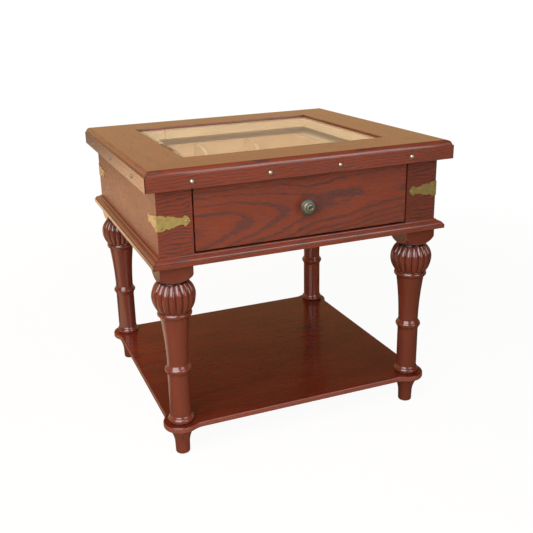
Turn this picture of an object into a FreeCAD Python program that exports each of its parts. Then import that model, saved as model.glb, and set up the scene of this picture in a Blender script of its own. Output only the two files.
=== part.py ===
"""Humidor side table: a cedar-lined drawer under a hinged glass lid, on four turned legs with a shelf.

Millimetres. X runs to the right, the front faces -Y, Z is up. The origin is on the floor, under the middle.
"""
import FreeCAD, Part
import math
import os

from FreeCAD import Vector

# Overall heights, from the floor up
SHELF_BOTTOM = 56.4
SHELF_TOP = 69.3
LEG_TOP = 394.3
BASE_TOP = 411.5
BOX_TOP = 534.0
LID_BOTTOM = 534.5
LID_TOP = 570.0

# Half sizes in plan
LID_X, LID_Y = 305.0, 280.0
BOX_X, BOX_Y = 283.0, 259.0
MOULDING_PROJECTION = 15.0
MOULDING_WIDTH = 35.0
LEG_X, LEG_Y = BOX_X - 30.0, BOX_Y - 30.0

# Lid
LID_RAIL = 97.0
LID_FACE = 26.0
LID_QUIRK = 2.2
REBATE = 10.0
GLASS_TOP = 565.7
GLASS_BOTTOM = 559.7
GLASS_BEVEL = 25.0
GLASS_BEVEL_DROP = 1.2
GLASS_CLEARANCE = 0.5
BEAD_BOTTOM = 537.4
NAIL_HEIGHT = LID_BOTTOM + 12.0
LID_NAILS_X = (-221.5, -77.0, 61.5, 213.0)
LID_NAILS_Y = (-185.0, 0.0, 185.0)

# Box
WALL = 20.0
BACK_WALL = 18.0
OPENING_X = 218.0
SLIDE_PANEL = 18.0
LEDGE_TOP = 520.0
LEDGE_BOTTOM = 510.0
LEDGE_X, LEDGE_Y = 206.0, 215.0

# Drawer
FRONT_X = 215.0
FRONT_BOTTOM, FRONT_TOP = 414.5, 532.0
FRONT_THICK = 20.0
DRAWER_X = 204.0
DRAWER_WALL = 13.0
DRAWER_BACK = 213.0
DRAWER_BOTTOM, DRAWER_TOP = 424.0, 520.0
TRAY_BOTTOM, TRAY_TOP = 430.0, 436.0
TRAY_GROOVE = 6.0
DIVIDER_X = 63.7
DIVIDER_THICK = 8.0
DIVIDER_TOP = 516.0
DIVIDER_SCOOP = 486.0
DADO = 3.0
INNER_X = DRAWER_X - DRAWER_WALL
INNER_FRONT = -BOX_Y + FRONT_THICK + DRAWER_WALL
INNER_BACK = DRAWER_BACK - DRAWER_WALL

# Humidifier on the inside of the drawer's front
HUMIDIFIER_X = 45.0
HUMIDIFIER_BOTTOM, HUMIDIFIER_TOP = 480.0, 514.0
HUMIDIFIER_DEPTH = 16.0
HUMIDIFIER_WALL = 1.8

# Drawer slides
SLIDE_HEIGHT = 460.0
SLIDE_FRONT, SLIDE_BACK = -232.0, 205.0
SLIDE_SHEET = 1.4
CHANNEL_HALF = 22.0
CHANNEL_LIP = 9.5
RUNNER_HALF = 16.4
RUNNER_LIP = 8.0
BALL_RADIUS = 1.9
BALL_ROW = (CHANNEL_HALF - SLIDE_SHEET + RUNNER_HALF) / 2
CAGE_FRONT, CAGE_LENGTH = -77.0, 120.0
CAGE_SHEET = 0.8
CAGE_BALLS = 3

# Legs
LEG_BLOCK = 62.5
HEAD_BOTTOM = 359.0
COLLAR_BOTTOM = 286.0
BULB_RADIUS = 41.2
BULB_MIDDLE = 329.0
BULB_BOTTOM, BULB_TOP = 301.0, 356.0
BULB_RISE, BULB_FALL = 38.0, 44.5
BULB_SECTIONS = 7
REEDS = 18
REED_DEPTH = 0.085
SHAFT_RADIUS = 20.9
RING_RADIUS = 25.4
RING_HEIGHT = 10.0
STUD_RADIUS = 4.0
STUD_FIT = 0.1
STUD_IN_FOOT, STUD_IN_LEG = 35.0, 43.0
BOLT_IN_LEG = 55.0
HOLE_END = 2.0

# Shelf outline
SHELF_X, SHELF_Y = 277.3, 253.6
LOBE_RADIUS = 35.0
LOBE_FILLET = 40.0
SHELF_ROUND = 3.5

# Brass
BRACKET_HEIGHT = 474.0
BRACKET_SHEET = 1.0
BRACKET_HALF = 14.0
BRACKET_NAILS = ((8.0, 8.2), (8.0, -8.2), (53.4, 0.0))
KNOB_HEIGHT = 473.0
HINGE_X = 170.0
HINGE_LENGTH = 51.0
HINGE_SHEET = 1.5
KNUCKLE_RADIUS = 2.7
HINGE_PIN_RADIUS = 1.4
HINGE_Y, HINGE_Z = BOX_Y + 3.0, LID_BOTTOM - 3.0

SIDES = {"front": 0, "right": 90, "back": 180, "left": 270}
CORNERS = {"front_left": (-1, -1), "front_right": (1, -1), "back_left": (-1, 1), "back_right": (1, 1)}
Z_AXIS = Vector(0, 0, 1)


def block(x0, x1, y0, y1, z0, z1):
    """A box between two corners, given as low and high on each axis."""
    return Part.makeBox(x1 - x0, y1 - y0, z1 - z0, Vector(x0, y0, z0))


def outline(start, *steps):
    """A closed wire. Each step is a point for a straight run, or a pair of points for an arc."""
    edges = []
    here = start
    for step in steps:
        if isinstance(step, tuple):
            through, end = step
            edges.append(Part.Arc(here, through, end).toShape())
        else:
            end = step
            edges.append(Part.LineSegment(here, end).toShape())
        here = end
    if here.distanceToPoint(start) > 1e-6:
        edges.append(Part.LineSegment(here, start).toShape())
    return Part.Wire(edges)


def extruded(wire, along):
    """The solid that a closed wire sweeps along a vector."""
    return Part.Face(wire).extrude(along)


def turned(start, *steps):
    """A solid of revolution about Z, from an outline of (radius, height) points drawn in XZ."""
    def at(point):
        return Vector(point[0], 0, point[1])

    path = []
    for step in steps:
        is_arc = isinstance(step[0], tuple)
        path.append((at(step[0]), at(step[1])) if is_arc else at(step))
    return Part.Face(outline(at(start), *path)).revolve(Vector(0, 0, 0), Z_AXIS, 360)


def placed(shape, x, y, z=0.0):
    """A copy moved by x, y and z."""
    copy = shape.copy()
    copy.translate(Vector(x, y, z))
    return copy


def rotated(shape, degrees, centre=Vector(0, 0, 0), axis=Z_AXIS):
    """A copy turned about an axis."""
    copy = shape.copy()
    copy.rotate(centre, axis, degrees)
    return copy


def mirrored_x(shape):
    """A copy on the other side of the middle plane."""
    return shape.mirror(Vector(0, 0, 0), Vector(1, 0, 0))


def fused(shapes):
    """One clean solid from several."""
    return shapes[0].fuse(shapes[1:]).removeSplitter()


def mitred_frame(half_x, half_y, width, section):
    """Four lengths of one section, mitred at the corners of a rectangle.

    section(x, out) is the front length's profile on the plane at x, with its outer face at y = -out.
    """
    pieces = {}
    for side, degrees in SIDES.items():
        across, out = (half_x, half_y) if degrees % 180 == 0 else (half_y, half_x)
        length = extruded(section(-across, out), Vector(2 * across, 0, 0))
        wedge = outline(
            Vector(-across, -out, 0),
            Vector(across, -out, 0),
            Vector(across - width, width - out, 0),
            Vector(width - across, width - out, 0),
        )
        piece = length.common(extruded(wedge, Vector(0, 0, LID_TOP)))
        pieces[side] = rotated(piece, degrees)
    return pieces


# Legs, feet and shelf


def bulb_radius(z):
    """Crest radius of the melon bulb: two half ellipses that meet at its widest height."""
    reach = BULB_RISE if z > BULB_MIDDLE else BULB_FALL
    return BULB_RADIUS * math.sqrt(1 - ((z - BULB_MIDDLE) / reach) ** 2)


def reeded_ring(z):
    """A closed wire of one arc per reed at one height of the bulb."""
    crest = bulb_radius(z)
    valley = crest * (1 - REED_DEPTH)
    step = 2 * math.pi / REEDS

    def at(radius, angle):
        return Vector(radius * math.cos(angle), radius * math.sin(angle), z)

    arcs = []
    for reed in range(REEDS):
        start = reed * step
        arc = Part.Arc(at(valley, start), at(crest, start + step / 2), at(valley, start + step))
        arcs.append(arc.toShape())
    return Part.Wire(arcs)


def reeded_bulb():
    """The melon bulb, lofted through reeded rings."""
    rise = (BULB_TOP - BULB_BOTTOM) / (BULB_SECTIONS - 1)
    rings = [reeded_ring(BULB_BOTTOM + rise * level) for level in range(BULB_SECTIONS)]
    return Part.makeLoft(rings, True, False)


def leg():
    """A turned leg on the Z axis, from the shelf to the base moulding."""
    half = LEG_BLOCK / 2
    shoulder = turned(
        (0, HEAD_BOTTOM),
        (27, HEAD_BOTTOM),
        ((38.2, HEAD_BOTTOM + 7.5), (45.5, HEAD_BOTTOM + 20)),
        (45.5, LEG_TOP),
        (0, LEG_TOP),
    )
    head = block(-half, half, -half, half, HEAD_BOTTOM, LEG_TOP).common(shoulder)
    neck = turned((0, BULB_TOP), (25, BULB_TOP), (25, HEAD_BOTTOM), (0, HEAD_BOTTOM))
    collar = turned(
        (0, BULB_BOTTOM),
        (0, COLLAR_BOTTOM),
        (27.6, COLLAR_BOTTOM),
        (28.6, 288.5),
        (30, 289),
        ((32.6, 294), (30, 299)),
        (29.5, BULB_BOTTOM),
    )
    shaft = turned(
        (0, COLLAR_BOTTOM),
        (0, SHELF_TOP),
        (22.9, SHELF_TOP),
        ((RING_RADIUS, SHELF_TOP + RING_HEIGHT / 2), (22.9, SHELF_TOP + RING_HEIGHT)),
        (22.2, SHELF_TOP + RING_HEIGHT + 2),
        (SHAFT_RADIUS, SHELF_TOP + RING_HEIGHT + 4.5),
        (SHAFT_RADIUS, 170),
        (22.2, 172.5),
        (22.9, 175),
        ((RING_RADIUS, 175 + RING_HEIGHT / 2), (22.9, 175 + RING_HEIGHT)),
        (21.8, 187),
        (20.2, 190),
        ((22.7, 243), (27.6, COLLAR_BOTTOM)),
    )
    whole = fused([head, neck, reeded_bulb(), collar, shaft])
    top_depth = BOLT_IN_LEG + HOLE_END
    top_hole = Part.makeCylinder(STUD_RADIUS + STUD_FIT, top_depth, Vector(0, 0, LEG_TOP - top_depth))
    bottom_hole = Part.makeCylinder(STUD_RADIUS + STUD_FIT, STUD_IN_LEG + HOLE_END, Vector(0, 0, SHELF_TOP))
    return whole.cut(top_hole).cut(bottom_hole)


def foot():
    """A turned foot that flares up to the shelf."""
    whole = turned(
        (0, 0),
        (13.2, 0),
        (14, 1.5),
        (14.4, 18),
        ((16.6, 34), (22.5, 48)),
        (23.4, 50),
        (23.4, SHELF_BOTTOM),
        (0, SHELF_BOTTOM),
    )
    hole_bottom = Vector(0, 0, SHELF_BOTTOM - STUD_IN_FOOT)
    return whole.cut(Part.makeCylinder(STUD_RADIUS + STUD_FIT, STUD_IN_FOOT, hole_bottom))


def shelf():
    """The lower shelf: straight edges that sweep out into a round lobe under each leg."""
    reach = LOBE_RADIUS + LOBE_FILLET
    side_drop = math.sqrt(reach ** 2 - (SHELF_X + LOBE_FILLET - LEG_X) ** 2)
    front_drop = math.sqrt(reach ** 2 - (SHELF_Y + LOBE_FILLET - LEG_Y) ** 2)
    side_centre = Vector(SHELF_X + LOBE_FILLET, LEG_Y - side_drop, 0)
    front_centre = Vector(LEG_X - front_drop, SHELF_Y + LOBE_FILLET, 0)
    lobe_centre = Vector(LEG_X, LEG_Y, 0)

    def on_lobe(target):
        return lobe_centre + (target - lobe_centre).normalize() * LOBE_RADIUS

    def on_fillet(centre, first, last):
        return centre + (first + last - centre * 2).normalize() * LOBE_FILLET

    side_start = Vector(SHELF_X, side_centre.y, 0)
    side_end = on_lobe(side_centre)
    lobe_tip = on_lobe(lobe_centre + Vector(1, 1, 0))
    front_end = on_lobe(front_centre)
    front_start = Vector(front_centre.x, SHELF_Y, 0)
    corner = [
        Part.Arc(side_start, on_fillet(side_centre, side_start, side_end), side_end).toShape(),
        Part.Arc(side_end, lobe_tip, front_end).toShape(),
        Part.Arc(front_end, on_fillet(front_centre, front_start, front_end), front_start).toShape(),
        Part.LineSegment(front_start, Vector(0, SHELF_Y, 0)).toShape(),
        Part.LineSegment(Vector(SHELF_X, 0, 0), side_start).toShape(),
    ]
    half = corner + [edge.mirror(Vector(0, 0, 0), Vector(1, 0, 0)) for edge in corner]
    edges = half + [edge.mirror(Vector(0, 0, 0), Vector(0, 1, 0)) for edge in half]
    wire = Part.Wire(Part.__sortEdges__(edges))
    board = extruded(wire, Vector(0, 0, SHELF_TOP - SHELF_BOTTOM))
    board.translate(Vector(0, 0, SHELF_BOTTOM))
    rims = [edge for edge in board.Edges if edge.BoundBox.ZLength < 1e-3]
    board = board.makeFillet(SHELF_ROUND, rims)
    for sx, sy in CORNERS.values():
        hole = Part.makeCylinder(STUD_RADIUS + STUD_FIT, LEG_TOP, Vector(sx * LEG_X, sy * LEG_Y, 0))
        board = board.cut(hole)
    return board


def leg_bolt():
    """A hex bolt from the bottom board down into the leg's block."""
    head_radius, head_height = 7.5, 5.5
    corners = []
    for side in range(7):
        angle = math.radians(60 * side)
        corners.append(Vector(head_radius * math.cos(angle), head_radius * math.sin(angle), BASE_TOP))
    head = extruded(Part.makePolygon(corners), Vector(0, 0, head_height))
    low = LEG_TOP - BOLT_IN_LEG
    shank = Part.makeCylinder(STUD_RADIUS, BASE_TOP - low, Vector(0, 0, low))
    return fused([head, shank])


def leg_stud():
    """A stud that joins foot, shelf and leg."""
    low, high = SHELF_BOTTOM - STUD_IN_FOOT, SHELF_TOP + STUD_IN_LEG
    return Part.makeCylinder(STUD_RADIUS, high - low, Vector(0, 0, low))


# Box


def moulding_section(x, out):
    """Base moulding: fascia, quirk, quarter round, fillet and cove, on a plane of constant X."""
    def at(inset, z):
        return Vector(x, inset - out, LEG_TOP + z)

    height = BASE_TOP - LEG_TOP
    fascia, quirk, ovolo, fillet, cove = 8.0, 2.0, 5.5, 1.5, 2.9
    half_way = math.sin(math.pi / 4)
    ovolo_end = quirk + ovolo
    cove_start = ovolo_end + fillet
    return outline(
        at(MOULDING_WIDTH, 0),
        at(0, 0),
        at(0, fascia),
        at(quirk, fascia),
        (at(ovolo_end - ovolo * half_way, fascia + ovolo * half_way), at(ovolo_end, fascia + ovolo)),
        at(ovolo_end, height - cove),
        at(cove_start, height - cove),
        (at(cove_start + cove * half_way, height - cove * half_way), at(cove_start + cove, height)),
        at(MOULDING_WIDTH, height),
    )


def base_moulding():
    """The four mitred lengths of the base moulding."""
    return mitred_frame(
        BOX_X + MOULDING_PROJECTION, BOX_Y + MOULDING_PROJECTION, MOULDING_WIDTH, moulding_section
    )


def carcass_bottom():
    """The board inside the base moulding, drilled for the leg bolts."""
    inset = MOULDING_WIDTH - MOULDING_PROJECTION
    board = block(inset - BOX_X, BOX_X - inset, inset - BOX_Y, BOX_Y - inset, LEG_TOP, BASE_TOP)
    for sx, sy in CORNERS.values():
        hole = Part.makeCylinder(STUD_RADIUS + STUD_FIT, LID_TOP, Vector(sx * LEG_X, sy * LEG_Y, 0))
        board = board.cut(hole)
    return board


def upright(*plan):
    """A wall of the box, from its plan outline."""
    wire = outline(*[Vector(x, y, BASE_TOP) for x, y in plan])
    return extruded(wire, Vector(0, 0, BOX_TOP - BASE_TOP))


def side_panel():
    """Right side panel, mitred to the stile at the front."""
    inner = BOX_X - WALL
    return upright((BOX_X, -BOX_Y), (BOX_X, BOX_Y), (inner, BOX_Y), (inner, WALL - BOX_Y))


def stile():
    """Right front stile, mitred to the side panel."""
    inner = BOX_X - WALL
    return upright((OPENING_X, -BOX_Y), (BOX_X, -BOX_Y), (inner, WALL - BOX_Y), (OPENING_X, WALL - BOX_Y))


def back_panel():
    """The back, let in between the side panels."""
    inner = BOX_X - WALL
    return block(-inner, inner, BOX_Y - BACK_WALL, BOX_Y, BASE_TOP, BOX_TOP)


def slide_panel():
    """Right inner panel, level with the drawer opening, which carries the slide channel."""
    back = BOX_Y - BACK_WALL
    return block(OPENING_X, OPENING_X + SLIDE_PANEL, WALL - BOX_Y, back, BASE_TOP, LEDGE_BOTTOM)


def side_ledge():
    """Right ledge board, beside the drawer and level with its rim."""
    return block(LEDGE_X, BOX_X - WALL, WALL - BOX_Y, LEDGE_Y, LEDGE_BOTTOM, LEDGE_TOP)


def back_ledge():
    """Ledge board behind the drawer."""
    inner = BOX_X - WALL
    return block(-inner, inner, LEDGE_Y, BOX_Y - BACK_WALL, LEDGE_BOTTOM, LEDGE_TOP)


# Lid


def lid_section(x, out):
    """Lid rail: plain face, quirk and quarter round outside, rebate for the glass inside."""
    def at(inset, z):
        return Vector(x, inset - out, z)

    shoulder = LID_BOTTOM + LID_FACE
    radius = LID_TOP - shoulder
    slant = radius * math.sin(math.pi / 4)
    lip = GLASS_TOP - GLASS_BEVEL_DROP * (1 - (REBATE - GLASS_CLEARANCE) / GLASS_BEVEL) + 0.05
    return outline(
        at(0, LID_BOTTOM),
        at(0, shoulder),
        at(LID_QUIRK, shoulder),
        (at(LID_QUIRK + radius - slant, shoulder + slant), at(LID_QUIRK + radius, LID_TOP)),
        at(LID_RAIL, LID_TOP),
        at(LID_RAIL, lip),
        at(LID_RAIL - REBATE, lip),
        at(LID_RAIL - REBATE, LID_BOTTOM),
    )


def bead_section(x, out):
    """Glazing bead: fills the rebate under the glass."""
    def at(inset, z):
        return Vector(x, inset - out, z)

    return outline(at(0, BEAD_BOTTOM), at(0, GLASS_BOTTOM), at(REBATE, GLASS_BOTTOM), at(REBATE, BEAD_BOTTOM))


def dome_nail(head, height, shank, length):
    """A nail with a low domed head on the Z axis, the head's flat side at the origin and the shank below."""
    sphere = (head ** 2 + height ** 2) / (2 * height)
    half_way = math.asin(head / sphere) / 2
    crown = (sphere * math.sin(half_way), height - sphere * (1 - math.cos(half_way)))
    return turned((0, -length), (shank, -length), (shank, 0), (head, 0), (crown, (0, height)))


def lid_nail_places():
    """Each lid nail's side, and its place along that side."""
    for side, degrees in SIDES.items():
        for along in LID_NAILS_X if degrees % 180 == 0 else LID_NAILS_Y:
            yield side, degrees, along


def at_lid_edge(shape, degrees, along):
    """A shape on the Z axis laid out on the lid's edge, its Z axis pointing outwards."""
    out = LID_Y if degrees % 180 == 0 else LID_X
    laid = rotated(shape, 90, axis=Vector(1, 0, 0))
    return rotated(placed(laid, along, -out, NAIL_HEIGHT), degrees)


def lid_rails():
    """The four mitred lid rails, drilled for the dome nails."""
    rails = mitred_frame(LID_X, LID_Y, LID_RAIL, lid_section)
    drill = Part.makeCylinder(1.35, 16, Vector(0, 0, -16))
    for side, degrees, along in lid_nail_places():
        rails[side] = rails[side].cut(at_lid_edge(drill, degrees, along))
    return rails


def lid_nails():
    """The dome nails round the lid's edge."""
    nail = dome_nail(4.4, 2.6, 1.25, 14)
    return Part.makeCompound([at_lid_edge(nail, degrees, along) for _, degrees, along in lid_nail_places()])


def glazing_beads():
    """Four mitred cedar beads under the glass."""
    inset = LID_RAIL - REBATE
    return Part.makeCompound(list(mitred_frame(LID_X - inset, LID_Y - inset, REBATE, bead_section).values()))


def lid_glass():
    """The pane, with a wide bevel ground round its upper face."""
    half_x = LID_X - LID_RAIL + REBATE - GLASS_CLEARANCE
    half_y = LID_Y - LID_RAIL + REBATE - GLASS_CLEARANCE
    edge_top = GLASS_TOP - GLASS_BEVEL_DROP

    def rectangle(inset, z):
        x, y = half_x - inset, half_y - inset
        return outline(Vector(-x, -y, z), Vector(x, -y, z), Vector(x, y, z), Vector(-x, y, z))

    slab = block(-half_x, half_x, -half_y, half_y, GLASS_BOTTOM, edge_top)
    crown = Part.makeLoft([rectangle(0, edge_top), rectangle(GLASS_BEVEL, GLASS_TOP)], True, True)
    return fused([slab, crown])


# Hinges


def knuckle(start, end):
    """A hinge knuckle along X, bored for the pin."""
    base = Vector(start, HINGE_Y, HINGE_Z)
    tube = Part.makeCylinder(KNUCKLE_RADIUS, end - start, base, Vector(1, 0, 0))
    return tube.cut(Part.makeCylinder(HINGE_PIN_RADIUS + 0.1, end - start, base, Vector(1, 0, 0)))


def knuckle_spans():
    """The three stretches of the knuckle row, end, middle and end, with a small gap between."""
    third = HINGE_LENGTH / 3
    start = -HINGE_LENGTH / 2
    gap = 0.3
    return [(start + third * turn + gap, start + third * (turn + 1) - gap) for turn in range(3)]


def pin_bore():
    """The space that the hinge pin needs."""
    base = Vector(-HINGE_LENGTH, HINGE_Y, HINGE_Z)
    return Part.makeCylinder(HINGE_PIN_RADIUS + 0.1, 2 * HINGE_LENGTH, base, Vector(1, 0, 0))


def leaf(spans, plate, tongue):
    """A hinge leaf: a plate, with a tongue into each knuckle of its own."""
    pieces = [plate]
    for start, end in spans:
        low, high = tongue
        pieces.append(block(start, end, low[0], high[0], low[1], high[1]))
        pieces.append(knuckle(start, end))
    return fused(pieces).cut(pin_bore())


def box_leaf():
    """Leaf on the back of the box, with the two outer knuckles."""
    half = HINGE_LENGTH / 2
    top = HINGE_Z - KNUCKLE_RADIUS - 0.4
    plate = block(-half, half, BOX_Y, BOX_Y + HINGE_SHEET, HINGE_Z - 24, top)
    spans = knuckle_spans()
    return leaf([spans[0], spans[2]], plate, ((BOX_Y, top - 1), (BOX_Y + HINGE_SHEET, HINGE_Z)))


def lid_leaf():
    """Leaf under the lid's overhang, with the middle knuckle."""
    half = HINGE_LENGTH / 2
    front = HINGE_Y + KNUCKLE_RADIUS + 0.4
    plate = block(-half, half, front, LID_Y - 2, LID_BOTTOM - HINGE_SHEET, LID_BOTTOM)
    tongue = ((HINGE_Y, LID_BOTTOM - HINGE_SHEET), (front + 1, LID_BOTTOM))
    return leaf([knuckle_spans()[1]], plate, tongue)


def hinge_pin():
    """A pin with a round head at each end of the knuckles."""
    half = HINGE_LENGTH / 2 - 0.3
    base = Vector(-half, HINGE_Y, HINGE_Z)
    along = Vector(1, 0, 0)
    shank = Part.makeCylinder(HINGE_PIN_RADIUS, 2 * half, base, along)
    ends = [Part.makeCylinder(2.4, 1.2, Vector(x, HINGE_Y, HINGE_Z), along) for x in (-half - 1.2, half)]
    return fused([shank] + ends)


def hinge_pair(piece):
    """The same hinge piece at the left and at the right."""
    return Part.makeCompound([placed(piece, -HINGE_X, 0), placed(piece, HINGE_X, 0)])


# Corner brackets


def bracket_outline():
    """One arm's outline: scallops from the corner to a neck, then a pointed finial. X along, Y up."""
    upper = [
        Vector(0, BRACKET_HALF, 0),
        (Vector(7, 14.6, 0), Vector(13.5, 12.6, 0)),
        (Vector(15, 10.6, 0), Vector(17, 10.2, 0)),
        (Vector(21.5, 11.8, 0), Vector(25.4, 9.4, 0)),
        (Vector(28.6, 10.6, 0), Vector(32, 8.4, 0)),
        (Vector(40, 6.6, 0), Vector(48, 6, 0)),
        (Vector(49, 8.6, 0), Vector(51.6, 9.6, 0)),
        (Vector(56.6, 6.1, 0), Vector(60, 0, 0)),
    ]

    def flipped(point):
        return Vector(point.x, -point.y, 0)

    ends = [upper[0]] + [step[1] for step in upper[1:]]
    lower = []
    for index in range(len(ends) - 1, 0, -1):
        lower.append((flipped(upper[index][0]), flipped(ends[index - 1])))
    return outline(upper[0], *upper[1:], *lower)


def on_bracket_arms(shape):
    """A shape drawn flat, with Z outwards, stood on the front and on the right face of one corner."""
    stood = rotated(shape, 90, axis=Vector(1, 0, 0))
    corner = (BOX_X, -BOX_Y, BRACKET_HEIGHT)
    return placed(mirrored_x(stood), *corner), placed(rotated(stood, 90), *corner)


def corner_bracket():
    """Front right bracket: two flat arms and the post that joins them round the corner."""
    arm = extruded(bracket_outline(), Vector(0, 0, BRACKET_SHEET))
    drill = [Part.makeCylinder(0.8, BRACKET_SHEET, Vector(s, t, 0)) for s, t in BRACKET_NAILS]
    front, side = on_bracket_arms(arm.cut(drill))
    low, high = BRACKET_HEIGHT - BRACKET_HALF, BRACKET_HEIGHT + BRACKET_HALF
    post = block(BOX_X, BOX_X + BRACKET_SHEET, -BOX_Y - BRACKET_SHEET, -BOX_Y, low, high)
    return fused([front, side, post])


def bracket_nails():
    """Front right bracket's pins."""
    pin = dome_nail(1.9, 1.1, 0.7, BRACKET_SHEET)
    pins = []
    for s, t in BRACKET_NAILS:
        pins.extend(on_bracket_arms(placed(pin, s, t, BRACKET_SHEET)))
    return pins


def at_corner(shape, sx, sy):
    """A front right shape, mirrored to another corner."""
    if sx < 0:
        shape = mirrored_x(shape)
    if sy > 0:
        shape = shape.mirror(Vector(0, 0, 0), Vector(0, 1, 0))
    return shape


# Drawer


def drawer_front():
    """The oak front, eased at its front edges and bored for the knob's screw."""
    board = block(-FRONT_X, FRONT_X, -BOX_Y, FRONT_THICK - BOX_Y, FRONT_BOTTOM, FRONT_TOP)
    rims = [edge for edge in board.Edges if abs(edge.BoundBox.YMax + BOX_Y) < 1e-3]
    return board.makeFillet(1.0, rims).cut(screw_hole())


def screw_hole():
    """Clearance hole for the knob's screw, through both fronts."""
    return Part.makeCylinder(2.1, 60, Vector(0, -BOX_Y - 20, KNOB_HEIGHT), Vector(0, 1, 0))


def tray_space():
    """The bottom board with its edges in the grooves."""
    groove = TRAY_GROOVE
    return block(
        -INNER_X - groove, INNER_X + groove, INNER_FRONT - groove, INNER_BACK + groove, TRAY_BOTTOM, TRAY_TOP
    )


def divider_space():
    """Both dividers as full boards, with their ends in the dadoes."""
    half = DIVIDER_THICK / 2
    return [
        block(x - half, x + half, INNER_FRONT - DADO, INNER_BACK + DADO, TRAY_TOP, DRAWER_TOP)
        for x in (-DIVIDER_X, DIVIDER_X)
    ]


def drawer_lining():
    """Cedar inner front of the drawer box."""
    board = block(-INNER_X, INNER_X, INNER_FRONT - DRAWER_WALL, INNER_FRONT, DRAWER_BOTTOM, DRAWER_TOP)
    return board.cut([tray_space(), screw_hole()] + divider_space())


def drawer_side():
    """Right side of the drawer box."""
    board = block(
        INNER_X, DRAWER_X, INNER_FRONT - DRAWER_WALL, DRAWER_BACK, DRAWER_BOTTOM, DRAWER_TOP
    )
    return board.cut(tray_space())


def drawer_back():
    """Back of the drawer box."""
    board = block(-INNER_X, INNER_X, INNER_BACK, DRAWER_BACK, DRAWER_BOTTOM, DRAWER_TOP)
    return board.cut([tray_space()] + divider_space())


def divider():
    """Right divider, scooped between its two high ends so that a hand can reach in."""
    front, back = INNER_FRONT - DADO, INNER_BACK + DADO
    shelf_run, sweep = 48.0, 62.0
    middle = (DIVIDER_TOP + DIVIDER_SCOOP) / 2
    bulge = sweep / 4
    lift = (DIVIDER_TOP - DIVIDER_SCOOP) * 0.12

    def at(y, z):
        return Vector(DIVIDER_X - DIVIDER_THICK / 2, y, z)

    def ogee(edge, inward):
        top = edge + inward * (shelf_run + DADO)
        return (
            at(top, DIVIDER_TOP),
            (at(top + inward * bulge, DIVIDER_TOP - lift), at(top + inward * 2 * bulge, middle)),
            (at(top + inward * 3 * bulge, DIVIDER_SCOOP + lift), at(top + inward * 4 * bulge, DIVIDER_SCOOP)),
        )

    back_top, back_crown, back_hollow = ogee(back, -1)
    front_top, front_crown, front_hollow = ogee(front, 1)
    wire = outline(
        at(front, TRAY_TOP),
        at(back, TRAY_TOP),
        at(back, DIVIDER_TOP),
        back_top,
        back_crown,
        back_hollow,
        front_hollow[1],
        (front_hollow[0], front_crown[1]),
        (front_crown[0], front_top),
        at(front, DIVIDER_TOP),
    )
    return extruded(wire, Vector(DIVIDER_THICK, 0, 0))


def knob():
    """A turned knob with a ringed face, its axis along -Y."""
    whole = turned(
        (0, 0),
        (9, 0),
        (9, 1.6),
        (7, 2.6),
        ((5.8, 6), (8.5, 9.5)),
        (13.2, 10.6),
        ((15.3, 12.8), (13.6, 15.2)),
        (10.8, 16.6),
        (10.8, 18.6),
        (9.6, 19.4),
        (6.8, 19.6),
        (6.4, 21.6),
        (4.6, 22.4),
        ((3.6, 20.9), (2.2, 20.4)),
        (0, 20.4),
    )
    bored = whole.cut(Part.makeCylinder(2.1, 9))
    return placed(rotated(bored, 90, axis=Vector(1, 0, 0)), 0, -BOX_Y, KNOB_HEIGHT)


def knob_screw():
    """The screw that holds the knob, its head inside the drawer."""
    seat = -INNER_FRONT - BOX_Y
    screw = turned(
        (0, seat - 2.4),
        (3, seat - 2.4),
        (4, seat - 1.2),
        (4, seat),
        (2, seat),
        (2, 8.6),
        (0, 8.6),
    )
    return placed(rotated(screw, 90, axis=Vector(1, 0, 0)), 0, -BOX_Y, KNOB_HEIGHT)


def humidifier_case():
    """An open-backed tray with louvre slots, fixed to the inner front above the knob's screw."""
    half, wall = HUMIDIFIER_X, HUMIDIFIER_WALL
    low, high = HUMIDIFIER_BOTTOM, HUMIDIFIER_TOP
    back = INNER_FRONT + HUMIDIFIER_DEPTH
    shell = block(-half, half, INNER_FRONT, back, low, high)
    rims = [edge for edge in shell.Edges if abs(edge.BoundBox.YMin - back) < 1e-3]
    shell = shell.makeFillet(3.0, rims)
    shell = shell.cut(block(wall - half, half - wall, INNER_FRONT, back - wall, low + wall, high - wall))
    slots = [
        block(step * 8 - 2, step * 8 + 2, back - 2 * wall, back, low + 7, high - 7)
        for step in range(-4, 5)
    ]
    return shell.cut(slots)


def humidifier_pad():
    """The moisture pad inside the humidifier case."""
    half = HUMIDIFIER_X - HUMIDIFIER_WALL
    back = INNER_FRONT + HUMIDIFIER_DEPTH - HUMIDIFIER_WALL
    low, high = HUMIDIFIER_BOTTOM + HUMIDIFIER_WALL, HUMIDIFIER_TOP - HUMIDIFIER_WALL
    return block(-half, half, INNER_FRONT, back, low, high)


# Drawer slides


def slide_member(web, lip_end, half):
    """A C-shaped strip: web at one X, lips that reach to another, along Y."""
    sheet = math.copysign(SLIDE_SHEET, lip_end - web)

    def at(x, z):
        return Vector(x, SLIDE_FRONT, SLIDE_HEIGHT + z)

    inner = half - SLIDE_SHEET
    wire = outline(
        at(web, -half),
        at(lip_end, -half),
        at(lip_end, -inner),
        at(web + sheet, -inner),
        at(web + sheet, inner),
        at(lip_end, inner),
        at(lip_end, half),
        at(web, half),
    )
    return extruded(wire, Vector(0, SLIDE_BACK - SLIDE_FRONT, 0))


def slide_channel():
    """Right fixed member, on the slide panel."""
    return slide_member(OPENING_X, OPENING_X - CHANNEL_LIP, CHANNEL_HALF)


def slide_runner():
    """Right moving member, on the drawer side."""
    return slide_member(DRAWER_X, DRAWER_X + RUNNER_LIP, RUNNER_HALF)


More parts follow.
